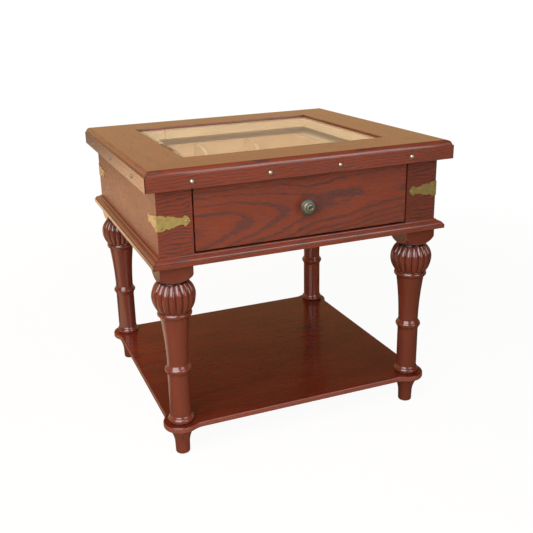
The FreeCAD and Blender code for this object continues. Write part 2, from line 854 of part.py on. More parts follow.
def ball_cage():
    """Right cage between channel and runner, with a row of balls above and below."""
    web = OPENING_X - SLIDE_SHEET - 1.6
    lip_end = DRAWER_X + 4.5
    ball_x = (DRAWER_X + RUNNER_LIP + lip_end) / 2
    half = BALL_ROW + CAGE_SHEET / 2

    def at(x, z):
        return Vector(x, CAGE_FRONT, SLIDE_HEIGHT + z)

    wire = outline(
        at(web, -half),
        at(web, half),
        at(lip_end, half),
        at(lip_end, half - CAGE_SHEET),
        at(web - CAGE_SHEET, half - CAGE_SHEET),
        at(web - CAGE_SHEET, CAGE_SHEET - half),
        at(lip_end, CAGE_SHEET - half),
        at(lip_end, -half),
    )
    strip = extruded(wire, Vector(0, CAGE_LENGTH, 0))
    pitch = CAGE_LENGTH / CAGE_BALLS
    places = [
        Vector(ball_x, CAGE_FRONT + pitch * (step + 0.5), SLIDE_HEIGHT + row)
        for step in range(CAGE_BALLS)
        for row in (-BALL_ROW, BALL_ROW)
    ]
    pockets = [Part.makeSphere(BALL_RADIUS + 0.1, place) for place in places]
    balls = [Part.makeSphere(BALL_RADIUS, place) for place in places]
    return [strip.cut(pockets)] + balls


def build():
    """Every node's shape, by name."""
    nodes = {"shelf": shelf(), "carcass_bottom": carcass_bottom(), "back_panel": back_panel()}
    one_leg, one_foot, one_bracket = leg(), foot(), corner_bracket()
    for name, (sx, sy) in CORNERS.items():
        nodes["leg_" + name] = placed(one_leg, sx * LEG_X, sy * LEG_Y)
        nodes["foot_" + name] = placed(one_foot, sx * LEG_X, sy * LEG_Y)
        nodes["corner_bracket_" + name] = at_corner(one_bracket, sx, sy)
    places = [(sx * LEG_X, sy * LEG_Y) for sx, sy in CORNERS.values()]
    nodes["leg_bolts"] = Part.makeCompound([placed(leg_bolt(), x, y) for x, y in places])
    nodes["leg_studs"] = Part.makeCompound([placed(leg_stud(), x, y) for x, y in places])
    nodes["bracket_nails"] = Part.makeCompound(
        [at_corner(pin, sx, sy) for sx, sy in CORNERS.values() for pin in bracket_nails()]
    )
    for side, piece in base_moulding().items():
        nodes["base_moulding_" + side] = piece
    for side, piece in lid_rails().items():
        nodes["lid_rail_" + side] = piece

    handed = {
        "side_panel": side_panel(),
        "stile": stile(),
        "slide_panel": slide_panel(),
        "ledge": side_ledge(),
        "slide_channel": slide_channel(),
        "drawer_side": drawer_side(),
        "divider": divider(),
        "slide_runner": slide_runner(),
    }
    for name, piece in handed.items():
        nodes[name + "_right"] = piece
        nodes[name + "_left"] = mirrored_x(piece)
    cage = ball_cage()
    nodes["ball_cages"] = Part.makeCompound(cage + [mirrored_x(piece) for piece in cage])

    nodes["ledge_back"] = back_ledge()
    nodes["lid_glass"] = lid_glass()
    nodes["glazing_beads"] = glazing_beads()
    nodes["lid_nails"] = lid_nails()
    nodes["box_hinge_leaves"] = hinge_pair(box_leaf())
    nodes["lid_hinge_leaves"] = hinge_pair(lid_leaf())
    nodes["hinge_pins"] = hinge_pair(hinge_pin())
    nodes["drawer_front"] = drawer_front()
    nodes["drawer_lining"] = drawer_lining()
    nodes["drawer_back"] = drawer_back()
    nodes["drawer_bottom"] = tray_space()
    nodes["knob"] = knob()
    nodes["knob_screw"] = knob_screw()
    nodes["humidifier_case"] = humidifier_case()
    nodes["humidifier_pad"] = humidifier_pad()
    return nodes


def main():
    """Write one STEP file for each node."""
    os.makedirs("parts", exist_ok=True)
    for name, shape in build().items():
        print(name, shape.ShapeType, len(shape.Solids), shape.isValid(), round(shape.Volume))
        shape.exportStep("parts/" + name + ".step")


main()
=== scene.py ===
"""Humidor side table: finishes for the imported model's pieces, small screws, studio and camera.

Metres, in the model's own frame: +X to the right, the front faces -Y, +Z up, the floor at zero.
"""
import logging
import math
from abc import ABC, abstractmethod
from dataclasses import dataclass
from enum import Enum
from typing import ClassVar, Iterable

import bmesh
import bpy
from mathutils import Matrix, Vector


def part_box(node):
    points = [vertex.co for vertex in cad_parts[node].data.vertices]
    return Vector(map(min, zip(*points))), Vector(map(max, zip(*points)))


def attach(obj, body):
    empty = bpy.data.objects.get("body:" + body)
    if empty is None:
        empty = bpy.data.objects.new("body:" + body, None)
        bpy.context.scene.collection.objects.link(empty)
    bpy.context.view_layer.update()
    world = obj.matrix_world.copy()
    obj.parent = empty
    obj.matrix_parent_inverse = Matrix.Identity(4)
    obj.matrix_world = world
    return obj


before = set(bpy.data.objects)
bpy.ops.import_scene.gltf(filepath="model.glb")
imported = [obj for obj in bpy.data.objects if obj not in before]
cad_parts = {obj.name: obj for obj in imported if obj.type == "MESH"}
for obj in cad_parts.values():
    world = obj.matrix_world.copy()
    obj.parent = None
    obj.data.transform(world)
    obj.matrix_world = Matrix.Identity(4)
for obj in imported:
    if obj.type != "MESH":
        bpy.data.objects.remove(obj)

log = logging.getLogger("humidor_table")

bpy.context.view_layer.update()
CORNERS = ("front_left", "front_right", "back_left", "back_right")
HANDS = ("left", "right")
SIDES = ("front", "right", "back", "left")

Pair = tuple[float, float]
Triple = tuple[float, float, float]
Colour = Triple
Socket = bpy.types.NodeSocket
Sockets = dict[str, Socket]
Value = Socket | float | tuple[float, ...]
Inputs = dict[str | int, Value]
# A smooth step: its low and high, then the results below and above them where they aren't 0 and 1
Step = tuple[float, ...]

WHITE: Colour = (1.0, 1.0, 1.0)


class Wiring:
    """A node tree, with short ways to add nodes and join them."""

    def __init__(self, tree: bpy.types.NodeTree) -> None:
        """Keep the tree that the nodes go into."""
        self.tree = tree

    def feed(self, socket: Socket, value: Value) -> None:
        """Join a socket to an input, or set the input's own value.

        Args:
            socket: The input.
            value: Another node's output, a number or a colour.
        """
        if isinstance(value, Socket):
            self.tree.links.new(value, socket)
        elif socket.type == "RGBA":
            socket.default_value = (*value[:3], 1.0)
        else:
            socket.default_value = value

    def fill(self, node: bpy.types.Node, values: Inputs) -> None:
        """Feed several of a node's inputs, by name or index."""
        for key, value in values.items():
            self.feed(node.inputs[key], value)

    def add(self, kind: str, values: Inputs | None = None, **settings: object) -> bpy.types.Node:
        """Add one node.

        Args:
            kind: The node's type name, without its leading ShaderNode.
            values: What each input gets, by the input's name or index.
            settings: Properties of the node itself.

        Returns:
            The new node.
        """
        node = self.tree.nodes.new("ShaderNode" + kind)
        for name, setting in settings.items():
            setattr(node, name, setting)
        self.fill(node, values or {})
        return node

    def math(self, operation: str, *terms: Value) -> Socket:
        """Add a Math node and return its result."""
        return self.add("Math", dict(enumerate(terms)), operation=operation).outputs[0]

    def times(self, first: Value, second: Value) -> Socket:
        """Return the product of two numbers."""
        return self.math("MULTIPLY", first, second)

    def ease(self, value: Value, low: float, high: float, start: Value = 0.0, end: Value = 1.0) -> Socket:
        """Add a smooth step.

        Args:
            value: What is mapped.
            low: Where the step begins.
            high: Where it ends.
            start: The result below low.
            end: The result above high.

        Returns:
            The stepped value.
        """
        values = {"Value": value, "From Min": low, "From Max": high, "To Min": start, "To Max": end}
        return self.add("MapRange", values, interpolation_type="SMOOTHSTEP").outputs["Result"]

    def mapped(
        self, vector: Value, scale: Triple = (1, 1, 1), shift: Triple = (0, 0, 0), turn: Triple = (0, 0, 0)
    ) -> Socket:
        """Return a vector that is scaled, turned and then shifted."""
        node = self.add("Mapping", {"Vector": vector, "Location": shift, "Rotation": turn, "Scale": scale})
        return node.outputs["Vector"]

    def noise(self, vector: Value, scale: Triple, detail: float = 2.0, size: Value = 1.0) -> Socket:
        """Return soft noise from 0 to 1, with its own scale along each axis."""
        values = {"Vector": self.mapped(vector, scale), "Scale": size, "Detail": detail}
        return self.add("TexNoise", values).outputs[0]

    def blend(self, share: Value, first: Value, second: Value) -> Socket:
        """Return a colour that goes from the first to the second as share goes from 0 to 1."""
        return self.add("Mix", {0: share, 6: first, 7: second}, data_type="RGBA").outputs[2]

    def between(self, share: Value, first: Value, second: Value) -> Socket:
        """Return a number that goes from the first to the second as share goes from 0 to 1."""
        return self.add("Mix", {0: share, 2: first, 3: second}, data_type="FLOAT").outputs[0]

    def axes(self, vector: Value) -> Sockets:
        """Return a vector's three parts by axis name."""
        parts = self.add("SeparateXYZ", {0: vector}).outputs
        return {axis: parts[axis] for axis in "XYZ"}

    def length(self, vector: Value) -> Socket:
        """Return a vector's length."""
        return self.add("VectorMath", {0: vector}, operation="LENGTH").outputs["Value"]

    def object_point(self) -> Socket:
        """Return the surface point in the model's own frame."""
        return self.add("TexCoord").outputs["Object"]

    def off_middle(self, axis: str) -> Socket:
        """Return how far the surface point lies from the model's middle along one axis."""
        return self.math("ABSOLUTE", self.axes(self.object_point())[axis])

    def true_normal(self) -> Socket:
        """Return the surface's own normal."""
        return self.add("NewGeometry").outputs["Normal"]

    def looking_up(self, low: float, high: float, start: float = 0.0, end: float = 1.0) -> Socket:
        """Return a smooth step over the upward part of the normal."""
        return self.ease(self.axes(self.true_normal())["Z"], low, high, start, end)

    def mix_surface(self, share: Value, shader: bpy.types.Node, other: bpy.types.Node) -> None:
        """Show another shader in place of the first for a share of the rays."""
        mixed = self.add("MixShader", {0: share, 1: shader.outputs[0], 2: other.outputs[0]})
        self.feed(self.tree.nodes["Material Output"].inputs["Surface"], mixed.outputs[0])


class ShaderGroup(ABC):
    """A node group that several finishes share. It is built when it is first placed."""

    name: ClassVar[str]
    takes: ClassVar[dict[str, float | Triple]]
    gives: ClassVar[tuple[str, ...]]

    @abstractmethod
    def wire(self, wiring: Wiring, source: Sockets) -> Sockets:
        """Add the group's nodes.

        Args:
            wiring: The group's own tree.
            source: The group's inputs by name.

        Returns:
            What feeds each output, by name.
        """

    def tree(self) -> bpy.types.NodeTree:
        """Make the group's tree on the first call, and find it again later.

        Returns:
            The tree.
        """
        found = bpy.data.node_groups.get(self.name)
        if found:
            return found
        tree = bpy.data.node_groups.new(self.name, "ShaderNodeTree")
        for name, value in self.takes.items():
            kind = "NodeSocketVector" if isinstance(value, tuple) else "NodeSocketFloat"
            tree.interface.new_socket(name=name, in_out="INPUT", socket_type=kind).default_value = value
        for name in self.gives:
            tree.interface.new_socket(name=name, in_out="OUTPUT", socket_type="NodeSocketFloat")
        entry = tree.nodes.new("NodeGroupInput")
        end = tree.nodes.new("NodeGroupOutput")
        wiring = Wiring(tree)
        wiring.fill(end, self.wire(wiring, {name: entry.outputs[name] for name in self.takes}))
        return tree

    def place(self, wiring: Wiring, **values: Value) -> Sockets:
        """Put the group into a material.

        Args:
            wiring: The material's tree.
            values: What each input gets, with an underscore for each space in its name.

        Returns:
            The group's outputs by name.
        """
        node = wiring.add("Group", node_tree=self.tree())
        wiring.fill(node, {name.replace("_", " "): value for name, value in values.items()})
        return {name: node.outputs[name] for name in self.gives}


class BoardFigure(ShaderGroup):
    """Growth rings about a pith that runs near X, with the open pores along them.

    Its noises have their scales in steps per metre, along the grain and across it.
    """

    name = "board figure"
    takes = {
        "Vector": (0.0, 0.0, 0.0),
        "Ring Spacing": 0.008,
        "Crowding": 1.0,
        "Tilt": 0.1,
        "Bow": 0.5,
        "Lean": 0.0,
        "Waviness": 0.006,
        "Fray": 0.2,
        "Dark Share": 0.30,
        "Fibre": 1.0,
    }
    gives = ("Rings", "Pores", "Mottle")

    wander: ClassVar[Triple] = (10, 17, 17)
    raggedness: ClassVar[Triple] = (40, 320, 320)
    dash: ClassVar[Triple] = (60, 420, 420)
    patch: ClassVar[Triple] = (5, 30, 30)
    pore: ClassVar[Triple] = (45, 800, 800)
    cloud: ClassVar[Triple] = (7, 22, 22)
    wander_shifts: ClassVar[Pair] = (0.3, 1.7)
    heart_half: ClassVar[float] = 0.012
    heart_dark_share: ClassVar[float] = 0.52
    ring_start: ClassVar[Step] = (0.0, 0.07)
    ring_fade: ClassVar[Step] = (0.55, 1.0, 1, 0)
    dash_step: ClassVar[Step] = (0.35, 0.60, 0.55, 1)
    patch_step: ClassVar[Step] = (0.3, 0.7, 0.75, 1)
    pore_step: ClassVar[Step] = (0.50, 0.68)

    def sway(self, wiring: Wiring, source: Sockets, shift: float) -> Socket:
        """Add the slow wander of the rings.

        Args:
            wiring: The group's own tree.
            source: The group's inputs by name.
            shift: Moves the noise, so that two wanders differ.

        Returns:
            A distance either way of zero.
        """
        moved = wiring.mapped(source["Vector"], shift=(shift, shift, 0))
        centred = wiring.math("SUBTRACT", wiring.noise(moved, self.wander, 3), 0.5)
        return wiring.times(centred, wiring.times(source["Waviness"], 2.0))

    def turns(self, wiring: Wiring, source: Sockets) -> tuple[Socket, Socket]:
        """Count the rings from the pith out to the point.

        Args:
            wiring: The group's own tree.
            source: The group's inputs by name.

        Returns:
            The count, and the point's height over the pith.
        """
        along = wiring.axes(source["Vector"])
        side_shift, up_shift = self.wander_shifts
        share = wiring.math("DIVIDE", along["X"], source["Bow"])
        bent = wiring.times(wiring.math("TANH", share), source["Bow"])
        leaning = wiring.math("MULTIPLY_ADD", bent, source["Tilt"], along["Y"])
        across = wiring.math("ADD", leaning, self.sway(wiring, source, side_shift))
        swayed = wiring.math("ADD", along["Z"], self.sway(wiring, source, up_shift))
        up = wiring.math("SUBTRACT", swayed, wiring.times(along["X"], source["Lean"]))
        squared = wiring.math("ADD", wiring.math("POWER", across, 2), wiring.math("POWER", up, 2))
        steps = wiring.math("DIVIDE", wiring.math("SQRT", squared), source["Ring Spacing"])
        return wiring.math("POWER", steps, source["Crowding"]), up

    def wire(self, wiring: Wiring, source: Sockets) -> Sockets:
        """Add the ring, pore and mottle nodes.

        Args:
            wiring: The group's own tree.
            source: The group's inputs by name.

        Returns:
            The three masks by name.
        """
        point = source["Vector"]
        turns, up = self.turns(wiring, source)
        fray = wiring.noise(point, self.raggedness)
        ring = wiring.math("FRACT", wiring.math("MULTIPLY_ADD", fray, source["Fray"], turns))
        wide = wiring.ease(up, -self.heart_half, self.heart_half, self.heart_dark_share, source["Dark Share"])
        fade = wiring.ease(wiring.math("DIVIDE", ring, wide), *self.ring_fade)
        body = wiring.times(wiring.ease(ring, *self.ring_start), fade)
        dashes = wiring.ease(wiring.noise(point, self.dash), *self.dash_step)
        strength = wiring.ease(wiring.noise(point, self.patch), *self.patch_step)
        fibre = wiring.noise(point, self.pore, size=source["Fibre"])
        return {
            "Rings": wiring.times(wiring.times(body, dashes), strength),
            "Pores": wiring.ease(fibre, *self.pore_step),
            "Mottle": wiring.noise(point, self.cloud, 4),
        }


class Crevice(ShaderGroup):
    """How deep a point lies in a groove of its own piece, from 0 in the open to 1."""

    name = "crevice"
    takes = {"Reach": 0.006}
    gives = ("Depth",)

    contrast: ClassVar[Step] = (0.35, 0.95, 1, 0)

    def wire(self, wiring: Wiring, source: Sockets) -> Sockets:
        """Add the occlusion node and its contrast."""
        shade = wiring.add("AmbientOcclusion", {"Distance": source["Reach"]}, samples=8, only_local=True)
        return {"Depth": wiring.ease(shade.outputs["AO"], *self.contrast)}


class RubbedEdge(ShaderGroup):
    """Where handling has rubbed an edge, broken up by noise."""

    name = "rubbed edge"
    takes = {"Vector": (0.0, 0.0, 0.0), "Radius": 0.0016}
    gives = ("Edge",)

    patch: ClassVar[Triple] = (90, 90, 90)
    turned_step: ClassVar[Step] = (0.80, 0.995, 1, 0)
    patch_step: ClassVar[Step] = (0.3, 0.65)

    def wire(self, wiring: Wiring, source: Sockets) -> Sockets:
        """Compare the rounded normal with the true one.

        Args:
            wiring: The group's own tree.
            source: The group's inputs by name.

        Returns:
            The edge mask by name.
        """
        rounded = wiring.add("Bevel", {"Radius": source["Radius"]}, samples=6).outputs[0]
        both = {0: rounded, 1: wiring.true_normal()}
        facing = wiring.add("VectorMath", both, operation="DOT_PRODUCT").outputs["Value"]
        turned = wiring.ease(facing, *self.turned_step)
        broken = wiring.ease(wiring.noise(source["Vector"], self.patch, 3), *self.patch_step)
        return {"Edge": wiring.times(turned, broken)}


class Tarnish(ShaderGroup):
    """Cloudy tarnish and fine scratches on metal."""

    name = "tarnish"
    takes = {"Vector": (0.0, 0.0, 0.0)}
    gives = ("Cloud", "Scratch")

    cloud: ClassVar[Triple] = (140, 140, 140)
    scratch: ClassVar[Triple] = (300, 2200, 900)
    cloud_step: ClassVar[Step] = (0.35, 0.70)
    scratch_step: ClassVar[Step] = (0.45, 0.75)

    def wire(self, wiring: Wiring, source: Sockets) -> Sockets:
        """Add a cloud and a fine stretched noise.

        Args:
            wiring: The group's own tree.
            source: The group's inputs by name.

        Returns:
            The two masks by name.
        """
        cloud = wiring.noise(source["Vector"], self.cloud, 5)
        scratch = wiring.noise(source["Vector"], self.scratch)
        return {
            "Cloud": wiring.ease(cloud, *self.cloud_step),
            "Scratch": wiring.ease(scratch, *self.scratch_step),
        }


class Grain(Enum):
    """The way that a board's grain runs, as the turn that lays it along X."""

    ALONG_X = (0.0, 0.0, 0.0)
    ALONG_Y = (0.0, 0.0, -math.pi / 2)
    ALONG_Z = (0.0, math.pi / 2, 0.0)


@dataclass(frozen=True)
class Board:
    """How a board was cut from the log.

    Attributes:
        grain: The way that the grain runs.
        pith: A point of the log's middle, in the model's frame.
        spacing: Width of a growth ring.
        tilt: Slope of the pith against the board, which draws the arches.
        waviness: How far a ring wanders.
        crowding: Above 1, the rings get narrower away from the pith.
        bow: Length over which the pith's slope fades out.
        lean: Rise of the pith along the board.
        fray: How ragged the rings' edges are, in rings.
        dark_share: Share of a ring that its dark pores fill.
    """

    grain: Grain
    pith: Triple
    spacing: float = 0.009
    tilt: float = 0.08
    waviness: float = 0.008
    crowding: float = 1.0
    bow: float = 0.5
    lean: float = 0.0
    fray: float = 0.2
    dark_share: float = 0.30

    def point(self, wiring: Wiring) -> Socket:
        """Return the surface point with the grain along X and the pith through the origin."""
        centred = wiring.mapped(wiring.object_point(), shift=tuple(-place for place in self.pith))
        return wiring.mapped(centred, turn=self.grain.value)

    def figure(self, wiring: Wiring, fibre: float = 1.0) -> Sockets:
        """Place the board figure for this cut.

        Args:
            wiring: The material's tree.
            fibre: Fineness of the pores.

        Returns:
            The figure's masks by name.
        """
        return BoardFigure().place(
            wiring,
            Vector=self.point(wiring),
            Ring_Spacing=self.spacing,
            Crowding=self.crowding,
            Tilt=self.tilt,
            Bow=self.bow,
            Lean=self.lean,
            Waviness=self.waviness,
            Fray=self.fray,
            Dark_Share=self.dark_share,
            Fibre=fibre,
        )


@dataclass(frozen=True)
class Finish(ABC):
    """A surface finish. Each gives one material, made on first use."""

    name: str

    @abstractmethod
    def wire(self, wiring: Wiring, shader: bpy.types.Node) -> None:
        """Add the finish's nodes and join them to the shader.

        Args:
            wiring: The material's tree.
            shader: Its Principled shader.
        """

    def material(self) -> bpy.types.Material:
        """Make the material on the first call, and find it again later.

        Returns:
            The finish's material.
        """
        found = bpy.data.materials.get(self.name)
        if found:
            return found
        made = bpy.data.materials.new(self.name)
        made.use_nodes = True
        self.wire(Wiring(made.node_tree), made.node_tree.nodes["Principled BSDF"])
        return made


def eased_normal(wiring: Wiring, height: Value, radius: float, depth: float, strength: float) -> Socket:
    """Return a normal with eased edges and a fine relief.

    Args:
        wiring: The material's tree.
        height: Relief from 0 to 1.
        radius: Roundness of the edges.
        depth: Depth of the relief.
        strength: Share of the relief that shows.

    Returns:
        The normal for a shader.
    """
    edge = wiring.add("Bevel", {"Radius": radius}, samples=4).outputs[0]
    values = {"Strength": strength, "Distance": depth, "Height": height, "Normal": edge}
    return wiring.add("Bump", values).outputs[0]


def shaded(colour: Colour, share: float) -> Colour:
    """Return a colour, darker or lighter by a share."""
    return tuple(part * share for part in colour)


@dataclass(frozen=True)
class Wood:
    """What a wooden surface shows: its colour, roughness and relief."""

    colour: Socket
    roughness: Socket
    relief: Socket

    def join(self, wiring: Wiring, shader: bpy.types.Node, **edges: float) -> None:
        """Join the wood to a shader, with what eased_normal needs for its edges and relief."""
        normal = eased_normal(wiring, self.relief, **edges)
        wiring.fill(shader, {"Base Color": self.colour, "Roughness": self.roughness, "Normal": normal})


@dataclass(frozen=True)
class Stain:
    """The colours of a stained board: the open wood, its deeper clouds and its dark pores."""

    light: Colour
    deep: Colour
    pore: Colour

    worn_gain: ClassVar[float] = 1.4
    worn_lift: ClassVar[float] = 0.02

    def scaled(self, share: float) -> "Stain":
        """Return the same stain, darker or lighter by a share."""
        return Stain(*(shaded(colour, share) for colour in (self.light, self.deep, self.pore)))

    def worn(self) -> Colour:
        """Return the paler wood of a rubbed edge."""
        return tuple(min(1.0, part * self.worn_gain + self.worn_lift) for part in self.light)


MAHOGANY = Stain((0.235, 0.045, 0.020), (0.200, 0.037, 0.016), (0.052, 0.033, 0.033))
TURNED = Stain((0.205, 0.037, 0.017), (0.170, 0.030, 0.013), (0.100, 0.043, 0.038))
# The shelf's stain: darker than MAHOGANY, partly as painted shade from the box above the shelf.
MAHOGANY_DARK = Stain((0.235, 0.026, 0.008), (0.180, 0.018, 0.005), (0.075, 0.022, 0.014))


@dataclass(frozen=True)
class StainedOak(Finish):
    """Oak under mahogany stain and satin lacquer.

    Attributes:
        board: How the board was cut.
        stain: Its colours.
        ring_share: How strongly the growth rings show.
        pore_share: How strongly the single pores show.
        glaze: How dark the stain gathers in grooves, deepened there as painted shade.
        roughness: Of the lacquer.
        coat: Share of a second, glossy coat.
        mitre: X less Y along a frame's mitred corners, where a dark joint shows, or None.
        front_painted_shade: How light the top faces are drawn at the table's front against its back: painted
            shade.
        edge: The colour on faces that don't look up, or None where it is the same; on the shelf it is lighter
            than the top, whose darker stain is partly painted shade.
    """

    board: Board
    stain: Stain = MAHOGANY
    ring_share: float = 1.0
    pore_share: float = 0.30
    glaze: float = 0.0
    roughness: float = 0.27
    coat: float = 1.0
    mitre: float | None = None
    front_painted_shade: float = 1.0
    edge: Colour | None = None

    coat_roughness: ClassVar[float] = 0.08
    glaze_reach: ClassVar[float] = 0.007
    glaze_shade: ClassVar[float] = 0.16
    rubbed_share: ClassVar[float] = 0.3
    joint_shade: ClassVar[float] = 0.2
    joint_step: ClassVar[Step] = (0.0010, 0.0028, 0.85, 0)
    joint_faces: ClassVar[Step] = (0.2, 0.9, 1, 0.2)
    mottle_step: ClassVar[Step] = (0.3, 0.7)
    uneven_step: ClassVar[Step] = (0.2, 0.8)
    uneven_by: ClassVar[Pair] = (-0.01, 0.015)
    pore_roughness: ClassVar[float] = 0.05
    top_faces: ClassVar[Pair] = (0.4, 0.8)
    # Where along Y the painted front shade runs from front to back.
    front_to_back: ClassVar[Pair] = (-0.22, 0.18)

    def seam(self, wiring: Wiring) -> Socket:
        """Add the joint of a mitred frame.

        Args:
            wiring: The material's tree.

        Returns:
            A mask that is strongest in the joint, on the frame's sides.
        """
        along = wiring.math("SUBTRACT", wiring.off_middle("X"), wiring.off_middle("Y"))
        away = wiring.math("ABSOLUTE", wiring.math("SUBTRACT", along, self.mitre))
        return wiring.times(wiring.ease(away, *self.joint_step), wiring.looking_up(*self.joint_faces))

    def figured(self, wiring: Wiring, figure: Sockets) -> Socket:
        """Add the clean wood's colour.

        Args:
            wiring: The material's tree.
            figure: The board figure's masks.

        Returns:
            The colour with its rings and pores.
        """
        stain = self.stain
        ground = wiring.blend(wiring.ease(figure["Mottle"], *self.mottle_step), stain.light, stain.deep)
        colour = wiring.blend(wiring.times(figure["Rings"], self.ring_share), ground, stain.pore)
        # Faces that don't look up get the edge colour; on the shelf this leaves the top darker, partly as
        # painted shade.
        if self.edge:
            colour = wiring.blend(wiring.looking_up(*self.top_faces), self.edge, colour)
        return wiring.blend(wiring.times(figure["Pores"], self.pore_share), colour, stain.pore)

    def aged(self, wiring: Wiring, colour: Socket) -> Socket:
        """Add the glaze and painted shade in grooves, the rubbed edges, the painted shade on top at the front
        and the mitred joint.

        Args:
            wiring: The material's tree.
            colour: The clean wood.

        Returns:
            The colour of the finished wood.
        """
        point = wiring.object_point()
        # Darkens grooves: a glaze that collects there, and painted shade where less light reaches.
        if self.glaze:
            depth = Crevice().place(wiring, Reach=self.glaze_reach)["Depth"]
            glazed = shaded(self.stain.deep, self.glaze_shade)
            colour = wiring.blend(wiring.times(depth, self.glaze), colour, glazed)
        rubbed = RubbedEdge().place(wiring, Vector=point)["Edge"]
        colour = wiring.blend(wiring.times(rubbed, self.rubbed_share), colour, self.stain.worn())
        # Painted shade: top faces darken towards the table's front, standing in for less light falling there.
        if self.front_painted_shade != 1.0:
            shade = wiring.ease(wiring.axes(point)["Y"], *self.front_to_back, self.front_painted_shade, 1.0)
            share = wiring.between(wiring.looking_up(*self.top_faces), 1.0, shade)
            colour = wiring.add("VectorMath", {0: colour, "Scale": share}, operation="SCALE").outputs[0]
        if self.mitre is not None:
            colour = wiring.blend(self.seam(wiring), colour, shaded(self.stain.deep, self.joint_shade))
        return colour

    def wood(self, wiring: Wiring) -> Wood:
        """Add the stained wood's nodes.

        Args:
            wiring: The material's tree.

        Returns:
            What the wood shows.
        """
        figure = self.board.figure(wiring)
        limits = (self.roughness + change for change in self.uneven_by)
        uneven = wiring.ease(figure["Mottle"], *self.uneven_step, *limits)
        return Wood(
            self.aged(wiring, self.figured(wiring, figure)),
            wiring.math("MULTIPLY_ADD", figure["Pores"], self.pore_roughness, uneven),
            wiring.math("SUBTRACT", 1.0, figure["Pores"]),
        )

    def wire(self, wiring: Wiring, shader: bpy.types.Node) -> None:
        """Join the wood and its coat to the shader."""
        self.wood(wiring).join(wiring, shader, radius=0.0009, depth=0.00012, strength=0.5)
        wiring.fill(shader, {"Coat Weight": self.coat, "Coat Roughness": self.coat_roughness})


@dataclass(frozen=True)
class Cedar(Finish):
    """Bare planed cedar.

    Attributes:
        board: How the board was cut.
        light: The open wood.
        deep: Its deeper clouds.
        line: Its growth lines.
        joint: Where two lengths meet along X, or None.
    """

    board: Board
    light: Colour = (0.780, 0.540, 0.310)
    deep: Colour = (0.710, 0.475, 0.260)
    line: Colour = (0.580, 0.360, 0.180)
    joint: float | None = None

    fibre: ClassVar[float] = 1.3
    ring_share: ClassVar[float] = 0.30
    pore_share: ClassVar[float] = 0.18
    roughness: ClassVar[float] = 0.58
    joint_shade: ClassVar[float] = 0.3
    joint_step: ClassVar[Step] = (0.0004, 0.0014, 0.8, 0)
    mottle_step: ClassVar[Step] = (0.25, 0.75)
    pore_roughness: ClassVar[float] = 0.12

    def wood(self, wiring: Wiring) -> Wood:
        """Add the cedar's nodes.

        Args:
            wiring: The material's tree.

        Returns:
            What the wood shows.
        """
        figure = self.board.figure(wiring, self.fibre)
        ground = wiring.blend(wiring.ease(figure["Mottle"], *self.mottle_step), self.light, self.deep)
        ringed = wiring.blend(wiring.times(figure["Rings"], self.ring_share), ground, self.line)
        colour = wiring.blend(wiring.times(figure["Pores"], self.pore_share), ringed, self.line)
        if self.joint is not None:
            away = wiring.math("SUBTRACT", wiring.axes(wiring.object_point())["X"], self.joint)
            seam = wiring.ease(wiring.math("ABSOLUTE", away), *self.joint_step)
            colour = wiring.blend(seam, colour, shaded(self.line, self.joint_shade))
        return Wood(
            colour,
            wiring.math("MULTIPLY_ADD", figure["Pores"], self.pore_roughness, self.roughness),
            wiring.math("SUBTRACT", 1.0, figure["Pores"]),
        )

    def wire(self, wiring: Wiring, shader: bpy.types.Node) -> None:
        """Join the cedar to the shader."""
        self.wood(wiring).join(wiring, shader, radius=0.0005, depth=0.0001, strength=0.4)


@dataclass(frozen=True)
class LinedOak(Finish):
    """An oak wall whose inner faces carry a cedar lining.

    Attributes:
        oak: The finish outside.
        cedar: The lining.
        half_x: Half the width of the lined space.
        half_y: Half its depth.
    """

    oak: StainedOak
    cedar: Cedar
    half_x: float
    half_y: float

    slack: ClassVar[float] = 0.0004

    def wire(self, wiring: Wiring, shader: bpy.types.Node) -> None:
        """Choose cedar inside the lined space and oak elsewhere.

        Args:
            wiring: The material's tree.
            shader: Its Principled shader.
        """
        inside_x = wiring.math("LESS_THAN", wiring.off_middle("X"), self.half_x + self.slack)
        inside_y = wiring.math("LESS_THAN", wiring.off_middle("Y"), self.half_y + self.slack)
        inside = wiring.times(inside_x, inside_y)
        outer, inner = self.oak.wood(wiring), self.cedar.wood(wiring)
        wood = Wood(
            wiring.blend(inside, outer.colour, inner.colour),
            wiring.between(inside, outer.roughness, inner.roughness),
            wiring.between(inside, outer.relief, inner.relief),
        )
        wood.join(wiring, shader, radius=0.0009, depth=0.00012, strength=0.2)


